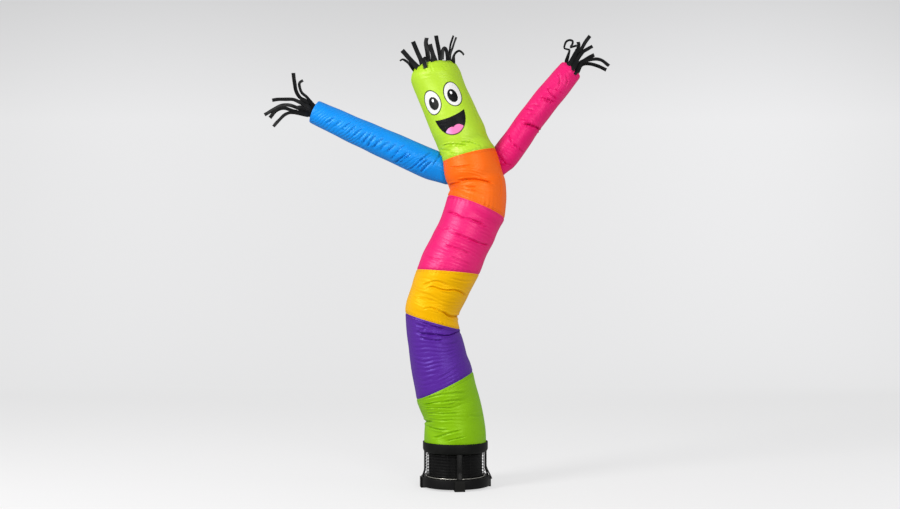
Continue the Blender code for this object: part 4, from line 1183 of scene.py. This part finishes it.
HAIR = (
    # width at the root, width at the end, turn, points from the root to the end
    (0.0200, 0.0130, 30, (
        (-0.0850, -0.0570, 1.5680), (-0.0975, -0.0600, 1.5800), (-0.1125, -0.0620, 1.5965),
        (-0.1320, -0.0630, 1.6080), (-0.1420, -0.0630, 1.6020),
    )),
    (0.0210, 0.0175, 0, (
        (-0.0720, -0.0860, 1.5690), (-0.0870, -0.0900, 1.5840), (-0.1030, -0.0930, 1.6010),
        (-0.1325, -0.0960, 1.6340),
    )),
    (0.0190, 0.0170, 6, (
        (-0.0570, -0.0930, 1.5810), (-0.0640, -0.0500, 1.6120), (-0.0786, -0.0050, 1.6540),
        (-0.0966, 0.0300, 1.7050),
    )),
    (0.0150, 0.0150, 0, (
        (-0.0360, -0.0980, 1.6010), (-0.0463, -0.1040, 1.6010), (-0.0505, -0.1130, 1.5880),
        (-0.0465, -0.1190, 1.5720), (-0.0435, -0.1215, 1.5590),
    )),
    (0.0230, 0.0185, -12, (
        (-0.0330, 0.0330, 1.5860), (-0.0372, 0.0340, 1.6370), (-0.0416, 0.0360, 1.6716),
        (-0.0455, 0.0340, 1.7013), (-0.0425, 0.0310, 1.7203),
    )),
    (0.0280, 0.0165, 0, (
        (-0.0105, -0.1115, 1.5870), (-0.0165, -0.1160, 1.6120), (-0.0278, -0.1200, 1.6510),
    )),
    (0.0190, 0.0160, 5, (
        (0.0120, 0.0370, 1.5900), (0.0095, 0.0400, 1.6400), (0.0015, 0.0460, 1.6880),
        (-0.0071, 0.0500, 1.7350),
    )),
    (0.0145, 0.0140, 0, (
        (0.0185, -0.1110, 1.5940), (0.0190, -0.1120, 1.6100), (0.0205, -0.1140, 1.6270),
        (0.0272, -0.1160, 1.6375), (0.0345, -0.1140, 1.6270), (0.0375, -0.1100, 1.6100),
        (0.0390, -0.1050, 1.5930),
    )),
    (0.0125, 0.0082, 12, (
        (0.0420, 0.0280, 1.5950), (0.0435, 0.0300, 1.6330), (0.0500, 0.0350, 1.6915),
        (0.0615, 0.0380, 1.7312),
    )),
    (0.0150, 0.0082, -12, (
        (0.0490, 0.0180, 1.5960), (0.0475, 0.0100, 1.6360), (0.0579, 0.0040, 1.6755),
        (0.0718, 0.0000, 1.7133),
    )),
    (0.0190, 0.0085, 50, (
        (0.0585, -0.0800, 1.5890), (0.0605, -0.0810, 1.6040), (0.0625, -0.0815, 1.6170),
        (0.0695, -0.0830, 1.6285), (0.0810, -0.0860, 1.6350), (0.0905, -0.0880, 1.6300),
        (0.1000, -0.0900, 1.6178),
    )),
)
ROOT_WIDTH, ROOT_DEPTH, ROOT_HEIGHT = 0.050, 0.022, 0.012  # of the root of a hand's strips
BLUE_STRIPS = (
    # column and row at the root, or None for a strip sewn on outside, and then as for the hair
    ((2, 1), 0.0170, 0.0138, 0, (
        (-0.5041, -0.0140, 1.4580), (-0.5289, -0.0120, 1.4749), (-0.5449, -0.0060, 1.5010),
        (-0.5528, -0.0020, 1.5404), (-0.5575, 0.0000, 1.5725),
    )),
    ((3, 0), 0.0170, 0.0100, 20, (
        (-0.4977, -0.0400, 1.4682), (-0.5154, -0.0480, 1.4826), (-0.5230, -0.0520, 1.5006),
        (-0.5239, -0.0560, 1.5185), (-0.5104, -0.0580, 1.5288),
    )),
    ((2, 0), 0.0170, 0.0138, 0, (
        (-0.5219, -0.0380, 1.4470), (-0.5476, -0.0450, 1.4576), (-0.5738, -0.0480, 1.4577),
        (-0.6025, -0.0520, 1.4573), (-0.6275, -0.0540, 1.4530),
    )),
    ((1, 1), 0.0165, 0.0140, 0, (
        (-0.5025, -0.0040, 1.4220), (-0.5417, 0.0040, 1.4375), (-0.5784, 0.0120, 1.4503),
        (-0.6065, 0.0180, 1.4489), (-0.6346, 0.0240, 1.4365), (-0.6715, 0.0280, 1.4150),
    )),
    ((0, 0), 0.0160, 0.0128, 0, (
        (-0.5090, -0.0320, 1.4077), (-0.5456, -0.0380, 1.4145), (-0.5764, -0.0460, 1.4235),
        (-0.5944, -0.0500, 1.4226), (-0.6145, -0.0560, 1.4105), (-0.6340, -0.0600, 1.3840),
    )),
    ((0, 1), 0.0160, 0.0138, 0, (
        (-0.4958, -0.0120, 1.4039), (-0.5288, -0.0080, 1.4116), (-0.5669, -0.0060, 1.4167),
        (-0.5883, -0.0060, 1.4079), (-0.6093, -0.0080, 1.3856), (-0.6300, -0.0100, 1.3615),
    )),
    ((3, 1), 0.0180, 0.0150, 0, (
        (-0.4880, -0.0260, 1.4480), (-0.5080, -0.0280, 1.4560), (-0.5260, -0.0280, 1.4530),
    )),
    ((1, 0), 0.0180, 0.0150, 0, (
        (-0.4990, -0.0300, 1.4250), (-0.5200, -0.0320, 1.4310), (-0.5400, -0.0320, 1.4290),
    )),
)
PINK_STRIPS = (
    ((3, 1), 0.0200, 0.0078, 0, (
        (0.4991, 0.0040, 1.6148), (0.5042, 0.0100, 1.6378), (0.5113, 0.0160, 1.6592),
        (0.5128, 0.0220, 1.6699), (0.5041, 0.0280, 1.6742), (0.4940, 0.0300, 1.6788),
        (0.4952, 0.0310, 1.6917), (0.5013, 0.0320, 1.7052), (0.5137, 0.0320, 1.7112),
        (0.5259, 0.0310, 1.7076), (0.5264, 0.0300, 1.6973), (0.5217, 0.0300, 1.6880),
        (0.5169, 0.0330, 1.6830), (0.5296, 0.0360, 1.6871), (0.5436, 0.0380, 1.6917),
    )),
    (None, 0.0180, 0.0160, 0, (
        (0.5090, -0.0300, 1.5990), (0.5190, -0.0290, 1.6155), (0.5290, -0.0280, 1.6353),
        (0.5375, -0.0260, 1.6587),
    )),
    (None, 0.0220, 0.0150, 15, (
        (0.4994, -0.0530, 1.5864), (0.5045, -0.0540, 1.5925), (0.5248, -0.0420, 1.6344),
        (0.5363, -0.0340, 1.6532), (0.5409, -0.0320, 1.6723), (0.5385, -0.0320, 1.6850),
    )),
    ((1, 1), 0.0170, 0.0142, 0, (
        (0.5429, 0.0080, 1.6475), (0.5614, 0.0110, 1.6765), (0.5756, 0.0120, 1.7010),
        (0.5918, 0.0130, 1.7225),
    )),
    (None, 0.0230, 0.0142, 0, (
        (0.5100, -0.0545, 1.5710), (0.5190, -0.0560, 1.5817), (0.5421, -0.0440, 1.6259),
        (0.5590, -0.0400, 1.6458), (0.5760, -0.0400, 1.6573), (0.5930, -0.0420, 1.6660),
    )),
    ((1, 1), 0.0160, 0.0135, 0, (
        (0.5487, 0.0100, 1.6118), (0.5676, 0.0170, 1.6258), (0.5883, 0.0220, 1.6393),
        (0.6095, 0.0260, 1.6510),
    )),
    (None, 0.0230, 0.0135, 0, (
        (0.5190, -0.0505, 1.5568), (0.5319, -0.0520, 1.5722), (0.5497, -0.0450, 1.6040),
        (0.5687, -0.0410, 1.6110), (0.5897, -0.0400, 1.6150), (0.6107, -0.0400, 1.6160),
        (0.6297, -0.0420, 1.6090), (0.6550, -0.0440, 1.5885),
    )),
    ((0, 1), 0.0160, 0.0140, 0, (
        (0.5545, 0.0090, 1.6040), (0.5706, 0.0110, 1.6120), (0.5907, 0.0130, 1.6120),
        (0.6187, 0.0160, 1.6050), (0.6545, 0.0180, 1.5890),
    )),
    ((2, 0), 0.0190, 0.0160, 0, (
        (0.5260, -0.0250, 1.6250), (0.5370, -0.0250, 1.6480), (0.5460, -0.0240, 1.6620),
    )),
    ((1, 0), 0.0200, 0.0170, 0, (
        (0.5330, -0.0200, 1.6130), (0.5450, -0.0180, 1.6330), (0.5560, -0.0160, 1.6480),
    )),
)
STRIP_WALL = 0.0007
STRIP_ROW = 0.0035  # length of a row of faces along a strip
STRIP_SLANT = math.radians(24)  # each strip leaves its root at its own slant, up to this
STRIP_CURL = 0.0010  # how far a strip's edges curl
FRONT = Vector((0, -1, 0))  # the strips lie mostly flat to the front
ROOT_COLUMNS, ROOT_ROWS = 4, 2  # places of strips in the root of a hand
ROOT_GAP = 0.0008  # from the wrist cap's middle to the root


def make_strip(points, root_width, end_width, turn, seed):
    """One cut strip along a smooth line, a little curled across and crumpled, with a square end."""
    points = np.array([tuple(p) for p in points])
    knots = lengths(points)
    count = max(16, round(knots[-1] / STRIP_ROW))
    spots = np.linspace(0, knots[-1], count + 1)
    path = [Vector(p) for p in smooth_line(knots, points, spots)]
    slant = STRIP_SLANT * math.sin(2.4 * seed + 1.0)
    root_width, end_width = root_width / math.cos(slant), end_width / math.cos(slant)
    sides, outs = [], []
    for i in range(count + 1):
        ahead = (path[min(i + 1, count)] - path[max(i - 1, 0)]).normalized()
        side = ahead.cross(FRONT)
        side = (Matrix.Rotation(slant + math.radians(turn) * i / count, 3, ahead) @ side).normalized()
        if sides and side.dot(sides[-1]) < 0:
            side = -side
        sides.append(side)
        outs.append(side.cross(ahead))
    start_clean()
    bpy.ops.mesh.primitive_grid_add(x_subdivisions=6, y_subdivisions=count, size=2.0)
    strip = bpy.context.object
    for vert in strip.data.vertices:
        share = vert.co.x
        i = round((vert.co.y + 1) / 2 * count)
        at = spots[i]
        curl = STRIP_CURL * share * share * math.sin(28 * at + seed)
        crumple = 0.0008 * math.sin(150 * at + 2 * seed) * (0.4 + 0.6 * share)
        crumple = crumple + 0.0006 * math.sin(90 * at + seed)
        width = root_width + (end_width - root_width) * min(1.0, 2.5 * i / count)
        vert.co = path[i] + sides[i] * (share * width / 2) + outs[i] * (curl + crumple)
    for uv in strip.data.uv_layers.active.data:
        uv.uv = (uv.uv[0] * 2 - 1, uv.uv[1] * knots[-1])
    strip.data.update()
    modify("SOLIDIFY", thickness=STRIP_WALL, offset=0.0, use_rim=True)
    return strip, knots[-1]


def make_bunch(name, node_name, pieces, table, seed):
    """Makes the strips of a table, and joins them with the pieces given as one bunch of cut cloth."""
    area, longest = 0.0, 0.0
    for i, (root_width, end_width, turn, points) in enumerate(table):
        strip, length = make_strip(points, root_width, end_width, turn, i + seed)
        pieces.append(strip)
        area += (root_width + end_width) / 2 * length
        longest = max(longest, length)
    join(pieces)
    bunch = finish_piece(name, NYLON["black"])
    place_piece(bunch, "nylon_black", node_name)


def make_root(middle, side, ahead, shift):
    """The gathered root of a hand's strips, a pleated black knot sewn to the wrist cap."""
    knot = open_tube(8, 64)
    mesh = knot.data
    for vert in mesh.vertices:
        share = vert.co.z
        angle = math.atan2(vert.co.y, vert.co.x)
        pleat = 1 + 0.10 * math.sin(15 * angle + 0.8 * math.sin(3 * angle)) * (0.5 + 0.5 * share)
        wide = (ROOT_WIDTH / 2) * (1.0 - 0.12 * math.sin(math.pi * share)) * pleat
        thick = (ROOT_DEPTH / 2) * (1.0 - 0.15 * math.sin(math.pi * share)) * pleat
        across = side * (shift + wide * math.cos(angle)) + Vector((0, thick * math.sin(angle), 0))
        vert.co = middle + ahead * (ROOT_GAP + share * ROOT_HEIGHT) + across
    edit()
    pick("VERT", lambda spot, way: (spot - middle).dot(ahead) > ROOT_HEIGHT + ROOT_GAP - 0.0001)
    bpy.ops.mesh.edge_face_add()
    leave()
    outward()
    return knot


def make_hand(name, node_name, rows, table, shift):
    """A hand: its strips come from the gathered root, and some are sewn on outside the wrist's front."""
    middle, side, _, ahead, _ = wrist_frame(rows)
    strips = []
    for place, root_width, end_width, turn, points in table:
        if place:
            column, row = place
            u = ((column + 0.5) / ROOT_COLUMNS - 0.5) * ROOT_WIDTH
            v = ((row + 0.5) / ROOT_ROWS - 0.5) * ROOT_DEPTH
            root = middle + side * (shift + u) + Vector((0, v, 0))
            points = (root + ahead * 0.004, root + ahead * (ROOT_HEIGHT + 0.001), *points)
        strips.append((root_width, end_width, turn, points))
    make_bunch(name, node_name, [make_root(middle, side, ahead, shift)], strips, seed=3)


# ---- the blower

BLOWER_X = 0.068
BLOWER_TURN = math.radians(-83.0)
QUARTERS = ("front", "right", "back", "left")
ROUND = 96  # faces round a turned piece


def to_blower(piece, angle=0.0):
    """Moves a piece from the world's axis to the blower's, turned about it."""
    piece.data.transform(Matrix.Translation((BLOWER_X, 0, 0)) @ Matrix.Rotation(angle, 4, "Z"))


def four_round(piece, name):
    """The piece and three copies, each with its own mesh, at the blower's four quarters."""
    made = [piece]
    for _ in QUARTERS[1:]:
        copy = piece.copy()
        copy.data = piece.data.copy()
        bpy.context.scene.collection.objects.link(copy)
        made.append(copy)
    for i, (copy, quarter) in enumerate(zip(made, QUARTERS)):
        to_blower(copy, BLOWER_TURN + i * math.pi / 2)
        copy.name = copy.data.name = name + quarter
    return made


def drum(radius, low, high, **settings):
    """Starts a piece as a cylinder about the world's axis, in edit mode."""
    start_clean()
    bpy.ops.mesh.primitive_cylinder_add(
        vertices=ROUND, radius=radius, depth=high - low, location=(0, 0, (low + high) / 2), **settings
    )
    bpy.ops.object.transform_apply(location=True)
    edit()


def make_base():
    """The ring that the fan stands in, with a floor and a rolled upper edge."""
    radius, low, high, wide, hollow = 0.129, 0.006, 0.040, 0.0245, 0.028
    drum(radius, low, high)
    pick("FACE", lambda spot, way: way.z > 0.9)
    bpy.ops.mesh.inset(thickness=wide)
    extrude(0, 0, -hollow)
    leave()
    round_edges(0.0024, 4)
    base = finish_piece("base_ring", PLASTIC)
    to_blower(base)
    place_piece(base, "black_plastic", "blower_base")


def make_feet():
    """Four feet, each a pad under the ring with a plate up its outer side."""
    inner, outer, width, plate = 0.104, 0.1318, 0.038, 0.0024
    pad_top, plate_top = 0.0057, 0.0385
    start_clean()
    bpy.ops.mesh.primitive_cube_add(size=1.0, location=((inner + outer) / 2, 0, pad_top / 2))
    bpy.context.object.scale = (outer - inner, width, pad_top)
    bpy.ops.object.transform_apply(location=True, scale=True)
    edit()
    cut((outer - plate, 0, 0), (1, 0, 0))
    pick("FACE", lambda spot, way: way.z > 0.9 and spot.x > outer - plate)
    extrude(0, 0, plate_top - pad_top)
    leave()
    round_edges(0.0007, 3)
    foot = finish_piece("foot_front", RUBBER)
    for piece, quarter in zip(four_round(foot, "foot_"), QUARTERS):
        place_piece(piece, "black_plastic", "blower_foot_" + quarter)


STRUT_LINE = (
    # radius, z
    (0.1145, 0.1302), (0.1145, 0.068), (0.1157, 0.060), (0.1207, 0.046), (0.1222, 0.0403),
)


def make_screw():
    """A small round screw head beside the top of a strut."""
    head, thick, rounding, place = 0.0022, 0.0020, 0.000143832, (0.1213, 0.0143, 0.1430)
    start_clean()
    bpy.ops.mesh.primitive_cylinder_add(
        vertices=20, radius=head, depth=thick, location=place, rotation=(0, math.pi / 2, 0)
    )
    round_edges(rounding, 2, 40)
    return finish_piece("strut_screw_front", PAINTED_BAR)


def make_struts():
    """Four flat bars from the collar to the ring, splayed at the foot, each with its screw."""
    thick, width = 0.0055, 0.0196
    radius, top = STRUT_LINE[0]
    start_clean()
    bpy.ops.mesh.primitive_plane_add(size=1.0, location=(radius, 0, top))
    bpy.context.object.scale = (thick, width, 1)
    bpy.ops.object.transform_apply(location=True, scale=True)
    edit()
    bpy.ops.mesh.select_all(action="SELECT")
    for (r0, z0), (r1, z1) in zip(STRUT_LINE, STRUT_LINE[1:]):
        extrude(r1 - r0, 0, z1 - z0)
    leave()
    outward()
    round_edges(0.0006, 2)
    strut, screw = finish_piece("strut_front", PAINTED_BAR), make_screw()
    struts, screws = four_round(strut, "strut_"), four_round(screw, "strut_screw_")
    for piece, screw, quarter in zip(struts, screws, QUARTERS):
        place_piece(piece, "black_painted_steel", "blower_strut_" + quarter)
        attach(screw, "root")


def make_housing():
    """The drum round the fan and its motor, with a rolled bead at each end."""
    low, high, radius, bead, lip, sunk = 0.0123, 0.126, 0.1020, 0.0016, 0.020, 0.006
    beads = ((0.0440, 0.0480), (0.1180, 0.1220))
    drum(radius - bead, low, high)
    for level in beads[0] + beads[1]:
        cut((0, 0, level), (0, 0, 1))
    pick("FACE", lambda spot, way: abs(way.z) < 0.5 and any(a < spot.z < b for a, b in beads))
    bpy.ops.mesh.extrude_region_shrink_fatten(TRANSFORM_OT_shrink_fatten={"value": bead})
    pick("FACE", lambda spot, way: way.z > 0.9 and spot.z > high - 0.0001)
    bpy.ops.mesh.inset(thickness=lip)
    extrude(0, 0, -sunk)
    leave()
    outward()
    round_edges(0.0010, 3, 35)
    drop_empty_faces()
    housing = finish_piece("fan_housing", PLASTIC)
    to_blower(housing)
    place_piece(housing, "black_plastic", "blower_housing")


def make_hoop(name, radius, wire, z, material):
    """A hoop of round wire about the blower's axis."""
    start_clean()
    bpy.ops.mesh.primitive_torus_add(
        major_radius=radius, minor_radius=wire / 2, major_segments=ROUND, minor_segments=10,
        location=(BLOWER_X, 0, z),
    )
    return finish_piece(name, material, 80)


def make_guard():
    """The wire guard: hoops welded to upright rods that stand just inside them."""
    low, high, hoops, rods, wire, radius = 0.0436, 0.1302, 8, 8, 0.0022, 0.1098
    pitch = (high - low) / hoops
    rod_radius = radius - 0.0016
    levels = [low + pitch * (i + 0.5) for i in range(hoops)]
    pieces = [make_hoop("guard_hoop", radius, wire, level, PAINTED_WIRE) for level in levels]
    for i in range(rods):
        turn = 2 * math.pi * (i + 0.5) / rods + BLOWER_TURN
        x, y = BLOWER_X + rod_radius * math.cos(turn), rod_radius * math.sin(turn)
        start_clean()
        bpy.ops.mesh.primitive_cylinder_add(
            vertices=12, radius=wire / 2, depth=high - low, location=(x, y, (low + high) / 2)
        )
        round_edges(0.0004, 2)
        pieces.append(finish_piece("guard_rod", PAINTED_WIRE))
    join(pieces)
    guard = finish_piece("wire_guard", PAINTED_WIRE, 60)
    place_piece(guard, "black_painted_steel", "blower_guard")


def ring_loop(z, radius):
    """In edit mode, selects the ring of vertices of a turned piece at a height and radius."""
    pick("VERT", lambda spot, way: abs(spot.z - z) < 0.0002 and abs(spot.xy.length - radius) < 0.0004)


def widen(scale):
    """Widens or narrows what is selected about the world's axis."""
    bpy.ops.transform.resize(value=(scale, scale, 1), center_override=(0, 0, 0))


def make_collar():
    """The outlet collar: a wall with a flared foot, a rounded lip, and a ledge inside for the hem."""
    low, high, ledge = 0.1305, 0.1675, 0.1345
    outer, foot, inner, ledge_radius = 0.122, 0.1165, 0.1186, 0.109
    flare, flare_top, flare_scale = 0.0045, 0.011, 0.9795
    drum(outer, low, high, end_fill_type="NOTHING")
    for level in (flare, flare_top):
        cut((0, 0, low + level), (0, 0, 1))
    for level, scale in ((low + flare, flare_scale), (low, foot / outer)):
        ring_loop(level, outer)
        widen(scale)

    # From the lip's outer edge over the lip, down to the ledge, over it, down and out to the foot
    ring_loop(high, outer)
    for dz, scale in (
        (0, inner / outer),
        (ledge - high, 1),
        (0, ledge_radius / inner),
        (low - ledge, 1),
        (0, foot / ledge_radius),
    ):
        extrude(0, 0, dz)
        widen(scale)
    leave()
    outward()
    round_edges(0.0009, 3, 40)
    collar = finish_piece("outlet_collar", COLLAR_PLASTIC)
    to_blower(collar)
    place_piece(collar, "black_plastic", "blower_collar")


CORD_LINE = (
    (0.1820, -0.0005, 0.1302), (0.1820, -0.0005, 0.1150), (0.1819, -0.0007, 0.0980),
    (0.1820, -0.0014, 0.0830), (0.1846, -0.0035, 0.0700), (0.1908, -0.0065, 0.0565),
    (0.1978, -0.0095, 0.0430), (0.2035, -0.0130, 0.0300),
)
CORD = 0.005


def make_cord():
    """The loose tail of the hem's draw cord."""
    knots = lengths(CORD_LINE)
    path = smooth_line(knots, CORD_LINE, np.linspace(0, knots[-1], 25))
    data = bpy.data.curves.new("hem_cord", "CURVE")
    data.dimensions = "3D"
    data.bevel_depth = CORD / 2
    data.bevel_resolution = 4
    data.use_fill_caps = True
    spline = data.splines.new("POLY")
    spline.points.add(len(path) - 1)
    spline.points.foreach_set("co", np.concatenate([path, np.ones((len(path), 1))], 1).ravel())
    spline.use_smooth = True
    data.materials.append(CORD_BRAID)
    cord = bpy.data.objects.new("hem_cord", data)
    bpy.context.scene.collection.objects.link(cord)
    place_piece(cord, "nylon_black", "draw_cord")


# ---- the room and the light


def set_camera():
    data = bpy.data.cameras.new("camera")
    data.lens = 38.96
    data.sensor_width = 36
    camera = bpy.data.objects.new("camera", data)
    camera.location = (0.0478, -3.7, 0.60)
    camera.rotation_euler = (math.radians(94.17), 0, 0)
    bpy.context.scene.collection.objects.link(camera)
    bpy.context.scene.camera = camera


def make_stage():
    """A pale floor that curves up into a backdrop."""
    wide, deep, front, tall, curve = 26, 17, -8.0, 9, 3.0
    start_clean()
    bpy.ops.mesh.primitive_plane_add(size=1.0, location=(0, front + deep / 2, -0.0005))
    bpy.context.object.scale = (wide, deep, 1)
    bpy.ops.object.transform_apply(location=True, scale=True)
    edit()
    pick("EDGE", lambda middle, along: middle.y > front + deep - 0.1)
    extrude(0, 0, tall)
    leave()
    round_edges(curve, 16, 40)

    # The paper glows, as painted light that keeps the shadow faint, and glows less higher up the backdrop,
    # as painted shade towards its top
    material, tree = new_material(
        "matt_pale_paper", Base_Color=linear("#909092"), Roughness=0.9, Emission_Color=linear("#ffffff")
    )
    height = node(tree, "SeparateXYZ", {0: node(tree, "TexCoord", out="Object")}, out=2)
    fall = {"From Min": 3.3, "From Max": 4.9, "To Min": 0.60, "To Max": 0.47}
    feed(tree, Emission_Strength=node(tree, "MapRange", {"Value": height, **fall}))
    stage = finish_piece("stage", material, 60)

    # It throws no light back, so the cloth stays deep underneath
    stage.visible_diffuse = False
    stage.visible_glossy = False


def add_light(name, place, aim, size, power, colour):
    data = bpy.data.lights.new(name, "AREA")
    data.shape = "DISK"
    data.size = size
    data.energy = power
    data.color = colour[:3]
    lamp = bpy.data.objects.new(name, data)
    lamp.location = place
    lamp.rotation_euler = (Vector(aim) - Vector(place)).to_track_quat("-Z", "Y").to_euler()
    bpy.context.scene.collection.objects.link(lamp)
    return lamp


def set_light():
    """A soft room, a large lamp at the left, a weaker one in front, and lamps for the backdrop."""
    world = bpy.data.worlds.new("soft_room")
    world.use_nodes = True
    room = world.node_tree.nodes["Background"].inputs
    room["Color"].default_value = linear("#f6f6f6")
    room["Strength"].default_value = 0.48
    bpy.context.scene.world = world
    warm, cool = linear("#fffdfa"), linear("#fbfcff")
    add_light("key", (-3.3, -2.7, 2.6), (0, 0, 1.0), 1.7, 160, warm)
    add_light("front", (1.3, -3.8, 1.7), (0.1, 0, 0.7), 1.7, 56, warm)
    kicker = add_light("kicker", (3.4, -1.0, 1.0), (0.05, 0, 0.6), 2.0, 14, cool)
    kicker.visible_glossy = False  # it lifts the shaded side and leaves no shine there
    add_light("backdrop_left", (-4.4, 5.6, 3.6), (-2.8, 9.4, 3.0), 2.4, 30, cool)
    add_light("backdrop_right", (4.4, 5.6, 3.6), (2.8, 9.4, 3.0), 2.4, 44, cool)
    bpy.context.scene.view_settings.view_transform = "Standard"


set_camera()
make_stage()
set_light()
make_collar()
panels = lay_out_panels()
tree = tube_tree(panels)
seams = [
    make_sleeve("blue_sleeve", "arm_blue", BLUE_SLEEVE, "blue", "nylon_blue", tree),
    make_sleeve("pink_sleeve", "arm_pink", PINK_SLEEVE, "sleeve_pink", "nylon_pink", tree),
]
make_panels(panels, seams)
make_caps()
make_bunch("hair_strips", "hair_fringe", [], HAIR, seed=0)
make_hand("blue_hand_strips", "hand_fringe_blue", BLUE_SLEEVE, BLUE_STRIPS, 0.0)
make_hand("pink_hand_strips", "hand_fringe_pink", PINK_SLEEVE, PINK_STRIPS, -0.005)
make_base()
make_feet()
make_struts()
make_housing()
make_guard()
hoop = make_hoop("wire_hoop", 0.1092, 0.003, 0.0418, WIRE)
place_piece(hoop, "bare_wire", "blower_hoop")
make_cord()
